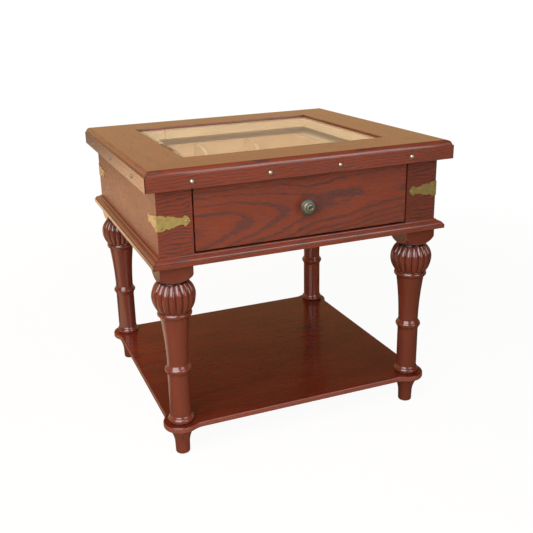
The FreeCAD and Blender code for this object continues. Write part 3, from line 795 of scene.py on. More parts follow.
@dataclass(frozen=True)
class Metal(Finish):
    """A metal with tarnish in its clouds and grooves.

    Attributes:
        bright: The clean metal.
        dull: The tarnish.
        roughness: Of the clean metal.
        metallic: Below 1 for a lacquered or patinated surface.
        tarnish: How strongly the clouds show.
        groove: How strongly the grooves darken.
        axis: X and Z of a turned piece's axis, or None.
        bands: Inner and outer radius of each ring that hands have rubbed clean.
        lacquer: Share of a clear coat.
    """

    bright: Colour
    dull: Colour
    roughness: float
    metallic: float = 1.0
    tarnish: float = 0.5
    groove: float = 0.8
    axis: Pair | None = None
    bands: tuple[Pair, ...] = ()
    lacquer: float = 0.0

    groove_reach: ClassVar[float] = 0.003
    edge_radius: ClassVar[float] = 0.0006
    rubbed_share: ClassVar[float] = 0.4
    patina_share: ClassVar[float] = 0.85
    band_softness: ClassVar[Pair] = (0.0004, 0.0003)
    dull_roughness: ClassVar[float] = 0.22
    scratch_roughness: ClassVar[float] = 0.06
    lacquer_roughness: ClassVar[float] = 0.2

    def patina(self, wiring: Wiring, point: Socket) -> Socket:
        """Add the patina of a turned face.

        Args:
            wiring: The material's tree.
            point: The surface point.

        Returns:
            A mask that is 0 on the rubbed rings and 1 elsewhere.
        """
        middle_x, middle_z = self.axis
        radius = wiring.length(wiring.mapped(point, (1, 0, 1), (-middle_x, 0, -middle_z)))
        soft_in, soft_out = self.band_softness
        clean: Value = 0.0
        for inner, outer in self.bands:
            rising = wiring.ease(radius, inner - soft_in, inner + soft_in)
            falling = wiring.ease(radius, outer - soft_out, outer + soft_out, 1, 0)
            clean = wiring.math("MAXIMUM", clean, wiring.times(rising, falling))
        return wiring.math("SUBTRACT", 1.0, clean)

    def wire(self, wiring: Wiring, shader: bpy.types.Node) -> None:
        """Join the tarnished metal to the shader.

        Args:
            wiring: The material's tree.
            shader: Its Principled shader.
        """
        point = wiring.object_point()
        tarnish = Tarnish().place(wiring, Vector=point)
        depth = Crevice().place(wiring, Reach=self.groove_reach)["Depth"]
        rubbed = RubbedEdge().place(wiring, Vector=point, Radius=self.edge_radius)["Edge"]
        clouded = wiring.times(tarnish["Cloud"], self.tarnish)
        aged = wiring.math("MAXIMUM", clouded, wiring.times(depth, self.groove))
        if self.axis:
            patina = wiring.times(self.patina(wiring, point), self.patina_share)
            aged = wiring.math("MAXIMUM", aged, patina)
        kept = wiring.math("SUBTRACT", aged, wiring.times(rubbed, self.rubbed_share))
        share = wiring.add("Clamp", {0: kept}).outputs[0]
        rough = wiring.math("MULTIPLY_ADD", share, self.dull_roughness, self.roughness)
        wiring.fill(shader, {
            "Base Color": wiring.blend(share, self.bright, self.dull),
            "Roughness": wiring.math("MULTIPLY_ADD", tarnish["Scratch"], self.scratch_roughness, rough),
            "Metallic": self.metallic,
            "Coat Weight": self.lacquer,
            "Coat Roughness": self.lacquer_roughness,
            "Normal": eased_normal(wiring, tarnish["Scratch"], radius=0.0004, depth=0.00004, strength=0.4),
        })


@dataclass(frozen=True)
class ClearGlass(Finish):
    """Clear glass, greener towards its ground edge, that lets the lamps light what lies under it.

    Attributes:
        half_x: Half the pane's width.
        half_y: Half its depth.
        rim: Width of the ground edge.
        tint: The open pane.
        rim_tint: The pane at its edge.
        bending: How strongly it bends light.
    """

    half_x: float
    half_y: float
    rim: float = 0.025
    tint: Colour = (0.975, 0.985, 0.972)
    rim_tint: Colour = (0.740, 0.880, 0.700)
    bending: float = 1.25

    rim_shares: ClassVar[Pair] = (0.2, 0.6)
    smear: ClassVar[Triple] = (14, 14, 14)
    smear_roughness: ClassVar[Step] = (0.45, 0.8, 0.0, 0.004)

    def wire(self, wiring: Wiring, shader: bpy.types.Node) -> None:
        """Make the shader glass, and clear for rays from lamps.

        Args:
            wiring: The material's tree.
            shader: Its Principled shader.
        """
        past_x = wiring.math("SUBTRACT", wiring.off_middle("X"), self.half_x - self.rim)
        past_y = wiring.math("SUBTRACT", wiring.off_middle("Y"), self.half_y - self.rim)
        ground = (self.rim * share for share in self.rim_shares)
        edge = wiring.ease(wiring.math("MAXIMUM", past_x, past_y), *ground)
        smears = wiring.noise(wiring.object_point(), self.smear, 4)
        wiring.fill(shader, {
            "Base Color": wiring.blend(edge, self.tint, self.rim_tint),
            "Roughness": wiring.ease(smears, *self.smear_roughness),
            "IOR": self.bending,
            "Transmission Weight": 1.0,
        })
        lamps = wiring.add("LightPath").outputs["Is Shadow Ray"]
        wiring.mix_surface(lamps, shader, wiring.add("BsdfTransparent", {"Color": self.tint}))


@dataclass(frozen=True)
class MouldedPlastic(Finish):
    """Black plastic with a fine spark texture."""

    colour: Colour = (0.022, 0.021, 0.020)
    pale: Colour = (0.040, 0.038, 0.036)

    spark: ClassVar[Triple] = (1400, 1400, 1400)
    spark_roughness: ClassVar[Step] = (0.3, 0.7, 0.42, 0.60)
    dust: ClassVar[Triple] = (60, 60, 60)
    dust_step: ClassVar[Step] = (0.5, 0.8)

    def wire(self, wiring: Wiring, shader: bpy.types.Node) -> None:
        """Join the textured plastic to the shader.

        Args:
            wiring: The material's tree.
            shader: Its Principled shader.
        """
        point = wiring.object_point()
        grains = wiring.noise(point, self.spark)
        dust = wiring.ease(wiring.noise(point, self.dust, 4), *self.dust_step)
        wiring.fill(shader, {
            "Base Color": wiring.blend(dust, self.colour, self.pale),
            "Roughness": wiring.ease(grains, *self.spark_roughness),
            "Normal": eased_normal(wiring, grains, radius=0.0006, depth=0.0001, strength=0.5),
        })


@dataclass(frozen=True)
class FoamPad(Finish):
    """Open-cell foam that holds water."""

    colour: Colour = (0.150, 0.225, 0.140)
    cell: Colour = (0.040, 0.070, 0.036)
    cells_per_metre: float = 900.0

    wall_step: ClassVar[Step] = (0.15, 0.55, 1, 0)
    wall_roughness: ClassVar[Step] = (0.1, 0.6, 0.95, 0.80)

    def wire(self, wiring: Wiring, shader: bpy.types.Node) -> None:
        """Join the cells to the shader.

        Args:
            wiring: The material's tree.
            shader: Its Principled shader.
        """
        values = {"Vector": wiring.object_point(), "Scale": self.cells_per_metre}
        cells = wiring.add("TexVoronoi", values).outputs["Distance"]
        wiring.fill(shader, {
            "Base Color": wiring.blend(wiring.ease(cells, *self.wall_step), self.colour, self.cell),
            "Roughness": wiring.ease(cells, *self.wall_roughness),
            "Normal": eased_normal(wiring, cells, radius=0.0008, depth=0.0008, strength=0.8),
        })


def planed(grain: Grain, *pith: float) -> Board:
    """Return the cut of a cedar board, with fine straight rings."""
    return Board(grain, pith, spacing=0.006, tilt=0.03, waviness=0.004)


STRAP_BRASS = Metal(
    "aged_strap_brass", (0.640, 0.460, 0.140), (0.360, 0.250, 0.080),
    roughness=0.36, metallic=0.6, tarnish=0.6, lacquer=1.0,
)
# A darker, duller copy of the strap brass for the right-hand corners: painted shade for the light that falls
# off to the right.
PAINTED_SHADE_STRAP_BRASS = Metal(
    "painted_shade_strap_brass", (0.400, 0.285, 0.085), (0.230, 0.160, 0.050),
    roughness=0.38, metallic=0.6, tarnish=0.7, lacquer=1.0,
)
PIN_BRASS = Metal(
    "dark_pin_brass", (0.400, 0.300, 0.100), (0.180, 0.140, 0.055), roughness=0.36, metallic=0.5, tarnish=0.6
)
NAIL_BRASS = Metal(
    "bright_nail_brass", (0.560, 0.510, 0.370), (0.230, 0.195, 0.120), roughness=0.26, metallic=0.8, tarnish=0.3
)
KNOB_BRASS = Metal(
    "pewter_knob_brass", (0.340, 0.300, 0.205), (0.075, 0.080, 0.066),
    roughness=0.28, metallic=0.6, tarnish=0.15, groove=1.0,
    axis=(0.0, 0.473), bands=((0.0090, 0.0112), (0.0042, 0.0070)),
)
ZINC = Metal("zinc_steel", (0.600, 0.600, 0.610), (0.340, 0.340, 0.350), roughness=0.32)
LINING_LONG = Cedar("cedar_along_x", planed(Grain.ALONG_X, 0.0, 0.31, 0.39))
LINING_DEEP = Cedar("cedar_along_y", planed(Grain.ALONG_Y, 0.07, 0.0, 0.39))
BEAD_CEDAR = Cedar(
    "cedar_beads", planed(Grain.ALONG_X, 0.0, 0.33, 0.43),
    light=(0.820, 0.600, 0.360), deep=(0.750, 0.530, 0.300), line=(0.600, 0.400, 0.210), joint=-0.140,
)
# Cedar drawn lighter and yellower than the lining as painted light, for ledges that lie in shade under the
# lid's rails.
PAINTED_LIGHT_LEDGE_CEDAR = Cedar(
    "cedar_ledge_painted_light", planed(Grain.ALONG_X, 0.0, 0.31, 0.43),
    light=(0.900, 0.720, 0.400), deep=(0.840, 0.650, 0.340), line=(0.700, 0.510, 0.250),
)


def middle(name: str) -> Vector:
    """Return the middle of a model piece's box."""
    low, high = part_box(name)
    return (low + high) / 2


def dress(names: Iterable[str], finish: Finish) -> None:
    """Give model pieces a finish.

    Args:
        names: The pieces.
        finish: What they are made of.
    """
    for name in names:
        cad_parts[name].material_slots[0].material = finish.material()
        log.info("%s: %s", name, finish.name)


def dress_frame(
    nodes: str, finish: str, out: float, pith_z: float, cut: dict[str, float], **oak: float
) -> None:
    """Dress the four mitred lengths of a frame, each with its grain along it.

    Args:
        nodes: How the pieces' names begin.
        finish: How their finishes' names begin.
        out: How far out their piths lie, as a share of the way to the piece.
        pith_z: Height of the piths.
        cut: More on how the boards were cut.
        oak: More on their finish.
    """
    for side in SIDES:
        place = middle(nodes + side) * out
        grain = Grain.ALONG_Y if side in HANDS else Grain.ALONG_X
        board = Board(grain, (place.x, place.y, pith_z), **cut)
        dress([nodes + side], StainedOak(finish + side, board, **oak))


def as_mesh(bm: bmesh.types.BMesh, name: str) -> bpy.types.Mesh:
    """Turn a bmesh into a mesh and free it.

    Args:
        bm: The bmesh.
        name: The mesh's name.

    Returns:
        The mesh.
    """
    mesh = bpy.data.meshes.new(name)
    bm.to_mesh(mesh)
    bm.free()
    return mesh


def add_object(name: str, data: bpy.types.ID) -> bpy.types.Object:
    """Add an object to the scene.

    Args:
        name: The object's name.
        data: Its mesh, lamp or camera.

    Returns:
        The object.
    """
    made = bpy.data.objects.new(name, data)
    bpy.context.scene.collection.objects.link(made)
    return made


@dataclass
class SlottedScrews:
    """A row of round screw heads on a flat face.

    Attributes:
        name: The piece's name.
        body: The body that it rides on.
        facing: The way that the heads face.
        places: Where the heads sit.
        finish: What the heads are made of.
        slot_name: Not used.
        radius: Radius of a head.
        rise: Height of a head above its seat.
        segments: Sides of a head.
        rounding: Width of its rounded rim, as a share of its height.
        slot_width: Width of the driver's slot.
        slot_depth: Depth of the slot, as a share of the head's height.
        first_turn: Turn of the first screw's slot, in degrees.
        turn_step: Turn from one slot to the next.
    """

    name: str
    body: str
    facing: Vector
    places: list[Vector]
    finish: Finish = ZINC
    slot_name: str = "steel"
    radius: float = 0.0032
    rise: float = 0.0006
    segments: int = 28
    rounding: float = 0.8
    slot_width: float = 0.0009
    slot_depth: float = 0.7
    first_turn: float = 25.0
    turn_step: float = 67.0

    rim_above: ClassVar[float] = 0.9
    facing_up: ClassVar[float] = 0.9

    def head(self) -> bpy.types.Mesh:
        """Build one head on the Z axis, its slot along Y.

        Returns:
            The head's mesh.
        """
        bm = bmesh.new()
        bmesh.ops.create_cone(
            bm, cap_ends=True, segments=self.segments, radius1=self.radius, radius2=self.radius, depth=self.rise
        )
        bmesh.ops.translate(bm, vec=(0, 0, self.rise / 2), verts=bm.verts)
        rim = [edge for edge in bm.edges if all(vert.co.z > self.rise * self.rim_above for vert in edge.verts)]
        bmesh.ops.bevel(
            bm, geom=rim, offset=self.rise * self.rounding, segments=3, profile=0.5, affect="EDGES", material=-1
        )
        half = self.slot_width / 2
        for side in (-half, half):
            whole = bm.verts[:] + bm.edges[:] + bm.faces[:]
            bmesh.ops.bisect_plane(bm, geom=whole, plane_co=(side, 0, 0), plane_no=(1, 0, 0))
        upper = [face for face in bm.faces if face.normal.z > self.facing_up]
        slot = [face for face in upper if abs(face.calc_center_median().x) < half]
        sunk = bmesh.ops.extrude_face_region(bm, geom=slot)["geom"]
        floor = [item for item in sunk if isinstance(item, bmesh.types.BMVert)]
        bmesh.ops.delete(bm, geom=slot, context="FACES")
        bmesh.ops.translate(bm, vec=(0, 0, -self.rise * self.slot_depth), verts=floor)
        bmesh.ops.recalc_face_normals(bm, faces=bm.faces)
        return as_mesh(bm, self.name + "_head")

    def build(self) -> None:
        """Build the row as one piece that rides on its body."""
        head = self.head()
        bm = bmesh.new()
        out = self.facing.to_track_quat("Z", "Y").to_matrix().to_4x4()
        for index, place in enumerate(self.places):
            before = len(bm.verts)
            bm.from_mesh(head)
            bm.verts.ensure_lookup_table()
            turn = Matrix.Rotation(math.radians(self.first_turn + self.turn_step * index), 4, "Z")
            bmesh.ops.transform(bm, matrix=Matrix.Translation(place) @ out @ turn, verts=bm.verts[before:])
        bpy.data.meshes.remove(head)
        mesh = as_mesh(bm, self.name)
        mesh.materials.append(self.finish.material())
        piece = add_object(self.name, mesh)
        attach(piece, self.body)
        log.info("%s: %d screws on %s", self.name, len(self.places), self.body)


@dataclass
class LegsAndShelf:
    """Turned legs, feet and the shelf between them.

    Attributes:
        ring_spacing: Width of a growth ring in a leg.
        pith_aside: How far outside a leg its log's middle lay.
        pith_behind: How far behind it.
        painted_light_shares: How light each leg's stain is drawn, in the order of the corners: painted shade on
            the front-right leg, painted light on the back-right.
        shelf_board: How the shelf was cut.
        shelf_unshaded_sides: The shelf's side faces, lighter than its top, whose darker stain is partly painted
            shade under the box.
    """

    ring_spacing: float = 0.006
    pith_aside: float = 0.045
    pith_behind: float = 0.012
    painted_light_shares: tuple[float, ...] = (1.0, 0.80, 1.0, 1.5)
    shelf_board: Board = Board(Grain.ALONG_X, (0.0, 0.06, -0.02), spacing=0.007, tilt=0.05, waviness=0.012)
    shelf_unshaded_sides: Colour = (0.262, 0.066, 0.042)

    def dress(self) -> None:
        """Give each leg its own cut of oak, and the shelf its boards."""
        # Each leg's stain is scaled by its share: painted light and shade for how much light reaches that
        # corner.
        for corner, shade in zip(CORNERS, self.painted_light_shares):
            place = middle("leg_" + corner)
            pith = (place.x + math.copysign(self.pith_aside, place.x), place.y + self.pith_behind, 0.0)
            board = Board(Grain.ALONG_Z, pith, self.ring_spacing, tilt=0.03, waviness=0.006)
            turned = StainedOak(
                "turned_oak_" + corner, board, TURNED.scaled(shade),
                ring_share=0.40, pore_share=0.14, glaze=1.0, roughness=0.2,
            )
            dress(["leg_" + corner, "foot_" + corner], turned)
        # Painted shade on the shelf: its top darker than its sides, and darker again towards the front.
        shelf = StainedOak(
            "shelf_oak", self.shelf_board, MAHOGANY_DARK,
            roughness=0.2, coat=0.35, front_painted_shade=0.60, edge=self.shelf_unshaded_sides,
        )
        dress(["shelf"], shelf)
        dress(["leg_bolts", "leg_studs"], ZINC)


@dataclass
class Carcass:
    """The box: walls, base moulding, inner boards and corner straps.

    Attributes:
        stile_pith: Depth and height of the stiles' pith.
        stile_painted_shades: How light the left and right stiles' stain is drawn, the right one darker as
            painted shade.
        side_pith_out: How far out the side panels' piths lie, as a share of the way to the panel.
        side_pith_z: Their height.
        back_board: How the back was cut.
        bottom_board: How the bottom was cut.
        moulding_pith_out: How far out the mouldings' piths lie, as a share of the way to the piece.
        moulding_pith_z: Their height.
    """

    stile_pith: Pair = (-0.16, 0.30)
    stile_painted_shades: Pair = (1.0, 0.78)
    side_pith_out: float = 0.7
    side_pith_z: float = 0.44
    back_board: Board = Board(Grain.ALONG_X, (0.0, 0.2, 0.45))
    bottom_board: Board = Board(Grain.ALONG_X, (0.0, 0.1, 0.33))
    moulding_pith_out: float = 0.8
    moulding_pith_z: float = 0.36

    def dress(self) -> None:
        """Dress the walls, the moulding, the inner boards and the straps."""
        self.dress_walls()
        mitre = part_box("base_moulding_right")[1].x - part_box("base_moulding_back")[1].y
        dress_frame(
            "base_moulding_", "moulding_oak_", self.moulding_pith_out, self.moulding_pith_z,
            {"spacing": 0.005, "tilt": 0.05, "waviness": 0.004},
            ring_share=0.6, glaze=0.85, roughness=0.22, mitre=mitre,
        )
        dress(["carcass_bottom"], StainedOak("bottom_oak", self.bottom_board, roughness=0.6, coat=0.0))
        dress(["slide_panel_left", "slide_panel_right"], LINING_DEEP)
        dress(["ledge_back", "ledge_left", "ledge_right"], PAINTED_LIGHT_LEDGE_CEDAR)
        for corner in CORNERS:
            # The right-hand straps get the darker brass: painted shade.
            dress(["corner_bracket_" + corner], PAINTED_SHADE_STRAP_BRASS if corner.endswith("right") else STRAP_BRASS)
        dress(["bracket_nails"], PIN_BRASS)

    def dress_walls(self) -> None:
        """Dress the stiles, sides and back, with their cedar lining."""
        _, wall_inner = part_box("ledge_right")
        _, back_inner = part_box("slide_panel_right")
        lined = {"half_x": wall_inner.x, "half_y": back_inner.y}
        # The right stile's stain is darkened as painted shade, for the light that falls off to the right.
        for hand, shade in zip(HANDS, self.stile_painted_shades):
            pith = (middle("stile_" + hand).x, *self.stile_pith)
            board = Board(Grain.ALONG_X, pith, 0.0052, tilt=0.1, waviness=0.016, fray=0.6, dark_share=0.46)
            stile = StainedOak("stile_oak_" + hand, board, MAHOGANY.scaled(shade), pore_share=0.36)
            dress(["stile_" + hand], LinedOak("stile_" + hand + "_lined", stile, LINING_LONG, **lined))
            pith = (middle("side_panel_" + hand).x * self.side_pith_out, 0.0, self.side_pith_z)
            wall = StainedOak("side_oak_" + hand, Board(Grain.ALONG_Y, pith), ring_share=0.3, pore_share=0.12)
            dress(["side_panel_" + hand], LinedOak("side_" + hand + "_lined", wall, LINING_DEEP, **lined))
        back = StainedOak("back_oak", self.back_board)
        dress(["back_panel"], LinedOak("back_lined", back, LINING_LONG, **lined))


@dataclass
class GlazedLid:
    """The hinged lid: mitred oak rails, glass, cedar beads, nails and hinges.

    Attributes:
        rail_pith_out: How far out the rails' piths lie, as a share of the way to the rail.
        rail_pith_z: Their height.
        screw_pitch: Distance between the screws of a hinge leaf.
        end_pitches: From a leaf's outer end to its middle screw, in pitches.
        leaf_sheet: Thickness of a leaf.
        lid_screw_inset: From a lid leaf's free edge to its screws.
        box_screw_inset: From a box leaf's free edge to its screws.
    """

    rail_pith_out: float = 0.92
    rail_pith_z: float = 0.46
    screw_pitch: float = 0.017
    end_pitches: float = 1.5
    leaf_sheet: float = 0.0015
    lid_screw_inset: float = 0.0062
    box_screw_inset: float = 0.009

    def dress(self) -> None:
        """Dress the rails, glass, beads, nails and hinges."""
        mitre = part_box("lid_rail_right")[1].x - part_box("lid_rail_back")[1].y
        dress_frame(
            "lid_rail_", "lid_oak_", self.rail_pith_out, self.rail_pith_z,
            {"spacing": 0.0045, "tilt": 0.05, "waviness": 0.006}, roughness=0.26, mitre=mitre,
        )
        _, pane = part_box("lid_glass")
        dress(["lid_glass"], ClearGlass("bevelled_glass", pane.x, pane.y))
        dress(["glazing_beads"], BEAD_CEDAR)
        dress(["lid_nails"], NAIL_BRASS)
        dress(["box_hinge_leaves", "lid_hinge_leaves", "hinge_pins"], STRAP_BRASS)

    def screws(self) -> None:
        """Add the screws of the two hinges, three to a leaf."""
        box_low, box_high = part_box("box_hinge_leaves")
        _, lid_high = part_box("lid_hinge_leaves")
        _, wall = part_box("back_panel")
        rail_low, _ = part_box("lid_rail_back")
        centre = box_high.x - self.screw_pitch * self.end_pitches
        steps = [side * centre + step * self.screw_pitch for side in (-1, 1) for step in (-1, 0, 1)]
        box_seat = (wall.y + self.leaf_sheet, box_low.z + self.box_screw_inset)
        lid_seat = (lid_high.y - self.lid_screw_inset, rail_low.z - self.leaf_sheet)
        rows = (
            ("box_hinge_screws", "table", Vector((0, 1, 0)), box_seat),
            ("lid_hinge_screws", "lid", Vector((0, 0, -1)), lid_seat),
        )
        for name, body, facing, seat in rows:
            places = [Vector((x, *seat)) for x in steps]
            SlottedScrews(name, body, facing, places, STRAP_BRASS, "brass").build()


@dataclass
class LinedDrawer:
    """The drawer: oak front, cedar box with two dividers, knob, humidifier and slides.

    Attributes:
        front_board: How the front was cut, with its arches pointing right.
        screw_steps: Places of the screws along a slide, as shares of its length.
        sheet: Thickness of a slide's metal.
    """

    front_board: Board = Board(
        Grain.ALONG_X, (-0.1185, -0.3011, 0.461), spacing=0.0279, tilt=0.16, waviness=0.010,
        crowding=1.685, bow=0.15, lean=0.10, fray=0.45,
    )
    screw_steps: Triple = (0.08, 0.5, 0.92)
    sheet: float = 0.0014

    def dress(self) -> None:
        """Dress the drawer's pieces."""
        front = StainedOak("drawer_front_oak", self.front_board, ring_share=0.76, pore_share=0.40)
        dress(["drawer_front"], front)
        dress(["drawer_lining", "drawer_back", "drawer_bottom"], LINING_LONG)
        dress(["drawer_side_left", "drawer_side_right", "divider_left", "divider_right"], LINING_DEEP)
        dress(["knob"], KNOB_BRASS)
        dress(["knob_screw", "ball_cages"], ZINC)
        dress([kind + "_" + hand for kind in ("slide_channel", "slide_runner") for hand in HANDS], ZINC)
        dress(["humidifier_case"], MouldedPlastic("black_case"))
        dress(["humidifier_pad"], FoamPad("foam_pad"))

    def along(self, name: str, x: float) -> list[Vector]:
        """Return the screw places along one member of a slide, at a given X."""
        low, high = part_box(name)
        return [Vector((x, low.y + (high.y - low.y) * step, middle(name).z)) for step in self.screw_steps]

    def screws(self) -> None:
        """Add the screws that hold each slide's two members."""
        for hand, out in zip(HANDS, (-1, 1)):
            runner, channel = "slide_runner_" + hand, "slide_channel_" + hand
            inner = min(abs(corner.x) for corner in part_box(runner)) + self.sheet
            outer = max(abs(corner.x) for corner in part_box(channel)) - self.sheet
            seats = self.along(runner, out * inner)
            SlottedScrews("slide_runner_screws_" + hand, "drawer", Vector((out, 0, 0)), seats).build()
            seats = self.along(channel, out * outer)
            SlottedScrews("slide_channel_screws_" + hand, "table", Vector((-out, 0, 0)), seats).build()


@dataclass(frozen=True)
class SoftBox:
    """A soft area lamp.

    Attributes:
        name: The lamp's name.
        place: Where it hangs.
        aim: The point that it faces.
        size: Width and height.
        power: In watts.
        colour: Of its light.
        mirrored: Whether glossy surfaces show it.
    """

    name: str
    place: Triple
    aim: Triple
    size: Pair
    power: float
    colour: Colour
    mirrored: bool = True

    def build(self) -> None:
        """Add the lamp, aimed at its point."""
        data = bpy.data.lights.new(self.name, "AREA")
        data.shape = "RECTANGLE"
        data.size, data.size_y = self.size
        data.energy = self.power
        data.color = self.colour
        lamp = add_object(self.name, data)
        lamp.location = self.place
        lamp.visible_glossy = self.mirrored
        lamp.rotation_euler = (Vector(self.aim) - Vector(self.place)).to_track_quat("-Z", "Y").to_euler()
        log.info("lamp %s", self.name)


@dataclass(frozen=True)
class StudioFloor(Finish):
    """A pale floor that the camera sees as white, with the table's faint shadow on it.

    Attributes:
        colour: The floor.
        shade: Its slow clouds.
        front: What glossy surfaces show of it beside and in front of the table.
        behind: Where, along Y, they begin to show it pale, and where it is all pale.
        card: Edge in X, middle in Y and half depth of a pale card left of the table, which they show too.
        card_soft: Half the width of the card's soft edges.
        near_share: How much of what the camera sees near the table is plain white.
        near: Distance within which that share holds.
        far: Distance from which all is white.
        white: Strength of the white.
    """

    colour: Colour = (0.80, 0.69, 0.52)
    shade: Colour = (0.77, 0.66, 0.49)
    front: Colour = (0.14, 0.09, 0.05)
    behind: Pair = (0.55, 1.15)
    card: Triple = (-0.34, 0.15, 0.20)
    card_soft: float = 0.06
    near_share: float = 0.93
    near: float = 0.8
    far: float = 2.5
    white: float = 1.02

    cloud: ClassVar[Triple] = (2, 2, 2)
    cloud_roughness: ClassVar[Step] = (0.2, 0.8, 0.85, 0.95)

    def darkened(self, wiring: Wiring, point: Socket) -> Socket:
        """Add the part of the floor that glossy surfaces show dark.

        Args:
            wiring: The material's tree.
            point: The floor's point.

        Returns:
            Its mask.
        """
        place = wiring.axes(point)
        edge, middle_y, half = self.card
        aside = wiring.ease(place["X"], edge - self.card_soft, edge + self.card_soft)
        off = wiring.math("ABSOLUTE", wiring.math("SUBTRACT", place["Y"], middle_y))
        past = wiring.ease(off, half - self.card_soft, half + self.card_soft)
        return wiring.times(wiring.ease(place["Y"], *self.behind, 1, 0), wiring.math("MAXIMUM", aside, past))

    def wire(self, wiring: Wiring, shader: bpy.types.Node) -> None:
        """Mix the lit floor with plain white for the rays that see the background.

        Args:
            wiring: The material's tree.
            shader: Its Principled shader.
        """
        point = wiring.object_point()
        cloud = wiring.noise(point, self.cloud, 3)
        path = wiring.add("LightPath").outputs
        mirrored = wiring.times(path["Is Glossy Ray"], self.darkened(wiring, point))
        wiring.fill(shader, {
            "Base Color": wiring.blend(mirrored, wiring.blend(cloud, self.colour, self.shade), self.front),
            "Roughness": wiring.ease(cloud, *self.cloud_roughness),
        })
        direct = wiring.math("MAXIMUM", path["Is Camera Ray"], path["Is Transmission Ray"])
        near = wiring.ease(wiring.length(point), self.near, self.far, self.near_share, 1.0)
        white = wiring.add("Emission", {"Color": WHITE, "Strength": self.white})
        wiring.mix_surface(wiring.times(direct, near), shader, white)


@dataclass
class PhotoCamera:
    """The camera, from its solved place and angles.

    Attributes:
        place: Where it stands.
        yaw: Turn to the right of +Y, in degrees.
        pitch: Tilt down, in degrees.
        roll: Turn about its own axis, in degrees.
        focal: Focal length in pixels.
        axis: Where its axis meets the picture, in pixels.
        width: Width of the square picture in pixels.
        sensor: Width of the sensor in millimetres.
        reach: How far it sees.
    """

    place: Triple = (-0.58038, -1.46289, 0.82860)
    yaw: float = 20.18
    pitch: float = 18.30
    roll: float = 1.88
    focal: float = 744.88
    axis: Pair = (236.84, 251.17)
    width: float = 533.0
    sensor: float = 36.0
    reach: float = 100.0

    def turn(self) -> Matrix:
        """Work out the camera's turn from its three angles.

        Returns:
            The turn, with the camera looking along its own -Z.
        """
        yaw, pitch, roll = (math.radians(angle) for angle in (self.yaw, self.pitch, self.roll))
        level = math.cos(pitch)
        forward = Vector((math.sin(yaw) * level, math.cos(yaw) * level, -math.sin(pitch)))
        right = forward.cross(Vector((0, 0, 1))).normalized()
        down = forward.cross(right)
        across = math.cos(roll) * right + math.sin(roll) * down
        up = math.sin(roll) * right - math.cos(roll) * down
        return Matrix((across, up, -forward)).transposed().to_4x4()

    def build(self) -> None:
        """Add the camera and make it the scene's own."""
        data = bpy.data.cameras.new("photo_camera")
        data.sensor_fit = "HORIZONTAL"
        data.sensor_width = self.sensor
        data.lens = self.focal / self.width * self.sensor
        data.shift_x = 0.5 - self.axis[0] / self.width
        data.shift_y = self.axis[1] / self.width - 0.5
        data.clip_end = self.reach
        camera = add_object("photo_camera", data)
        camera.matrix_world = Matrix.Translation(self.place) @ self.turn()
        bpy.context.scene.camera = camera
        log.info("camera")


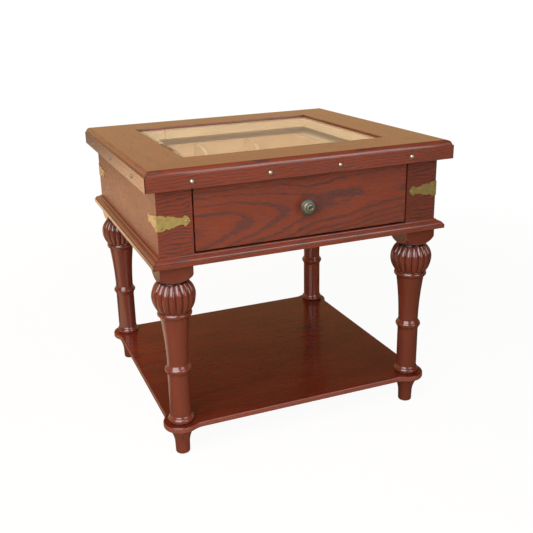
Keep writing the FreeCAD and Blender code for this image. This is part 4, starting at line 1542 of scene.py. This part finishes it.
@dataclass
class Studio:
    """Floor, soft lamps, pale surroundings and camera.

    Attributes:
        floor_half: Half the floor's width.
        floor_drop: How far it lies under the feet.
        ambient: Light from all round.
        horizon: The pale wall behind the table, seen in reflections.
        wall_top: Where, along the upward part of a direction, that wall fades out.
        wall_side: Where it begins and is full, along the backward part.
        dim: The rest of the room, seen in reflections.
        ceiling: Light that comes in through the glass.
        skyline: Where the white that shows through the glass goes over into the ceiling.
        lamps: The soft lamps.
    """

    floor_half: float = 12.0
    floor_drop: float = 0.0004
    ambient: Colour = (0.18, 0.175, 0.17)
    horizon: Colour = (0.548, 0.325, 0.150)
    wall_top: Pair = (0.20, 0.56)
    wall_side: Pair = (-0.25, 0.35)
    dim: Colour = (0.030, 0.020, 0.012)
    ceiling: Colour = (0.42, 0.41, 0.39)
    skyline: Pair = (0.02, 0.06)
    lamps: tuple[SoftBox, ...] = (
        SoftBox(
            "key", place=(-0.88, -1.00, 1.34), aim=(0.0, -0.2, 0.42),
            size=(1.4, 1.7), power=35.0, colour=(0.93, 0.97, 1.0),
        ),
        SoftBox(
            "front_card", place=(0.80, -1.95, 1.05), aim=(0.0, -0.27, 0.52),
            size=(1.1, 1.2), power=10.0, colour=(0.90, 0.96, 1.0),
        ),
        SoftBox(
            "floor_warmth", place=(-1.0, 1.75, 1.0), aim=(-1.0, 1.75, 0.0),
            size=(1.2, 1.6), power=20.5, colour=(1.0, 0.69, 0.46), mirrored=False,
        ),
    )

    def floor(self) -> None:
        """Lay the floor just under the feet."""
        bm = bmesh.new()
        bmesh.ops.create_grid(bm, x_segments=1, y_segments=1, size=self.floor_half)
        bmesh.ops.translate(bm, vec=(0, 0, -self.floor_drop), verts=bm.verts)
        mesh = as_mesh(bm, "studio_floor")
        mesh.materials.append(StudioFloor("pale_floor").material())
        floor = add_object("studio_floor", mesh)
        log.info("floor")

    def surroundings(self) -> None:
        """Set the world: white to look at, a pale wall behind in reflections, soft light all round."""
        world = bpy.data.worlds.new("studio")
        bpy.context.scene.world = world
        world.use_nodes = True
        wiring = Wiring(world.node_tree)
        path = wiring.add("LightPath").outputs
        way = wiring.axes(wiring.add("TexCoord").outputs["Generated"])
        low = wiring.ease(way["Z"], *self.wall_top, 1, 0)
        wall = wiring.blend(wiring.times(low, wiring.ease(way["Y"], *self.wall_side)), self.dim, self.horizon)
        through = wiring.times(path["Is Transmission Ray"], wiring.ease(way["Z"], *self.skyline, 1, 0))
        direct = wiring.math("MAXIMUM", path["Is Camera Ray"], through)
        mirrored = wiring.math("SUBTRACT", path["Is Glossy Ray"], path["Is Transmission Ray"])
        room = wiring.blend(mirrored, self.ambient, wall)
        soft = wiring.blend(path["Is Transmission Ray"], room, self.ceiling)
        wiring.fill(world.node_tree.nodes["Background"], {"Color": wiring.blend(direct, soft, WHITE)})

    def build(self) -> None:
        """Set up the whole studio."""
        self.floor()
        self.surroundings()
        for lamp in self.lamps:
            lamp.build()
        PhotoCamera().build()
        bpy.context.scene.view_settings.view_transform = "Standard"


def main() -> None:
    """Dress the table, add its screws and set up the studio."""
    logging.basicConfig(level=logging.INFO, format="%(name)s %(message)s")
    LegsAndShelf().dress()
    Carcass().dress()
    lid = GlazedLid()
    lid.dress()
    lid.screws()
    drawer = LinedDrawer()
    drawer.dress()
    drawer.screws()
    Studio().build()


if __name__ == "__main__":
    main()
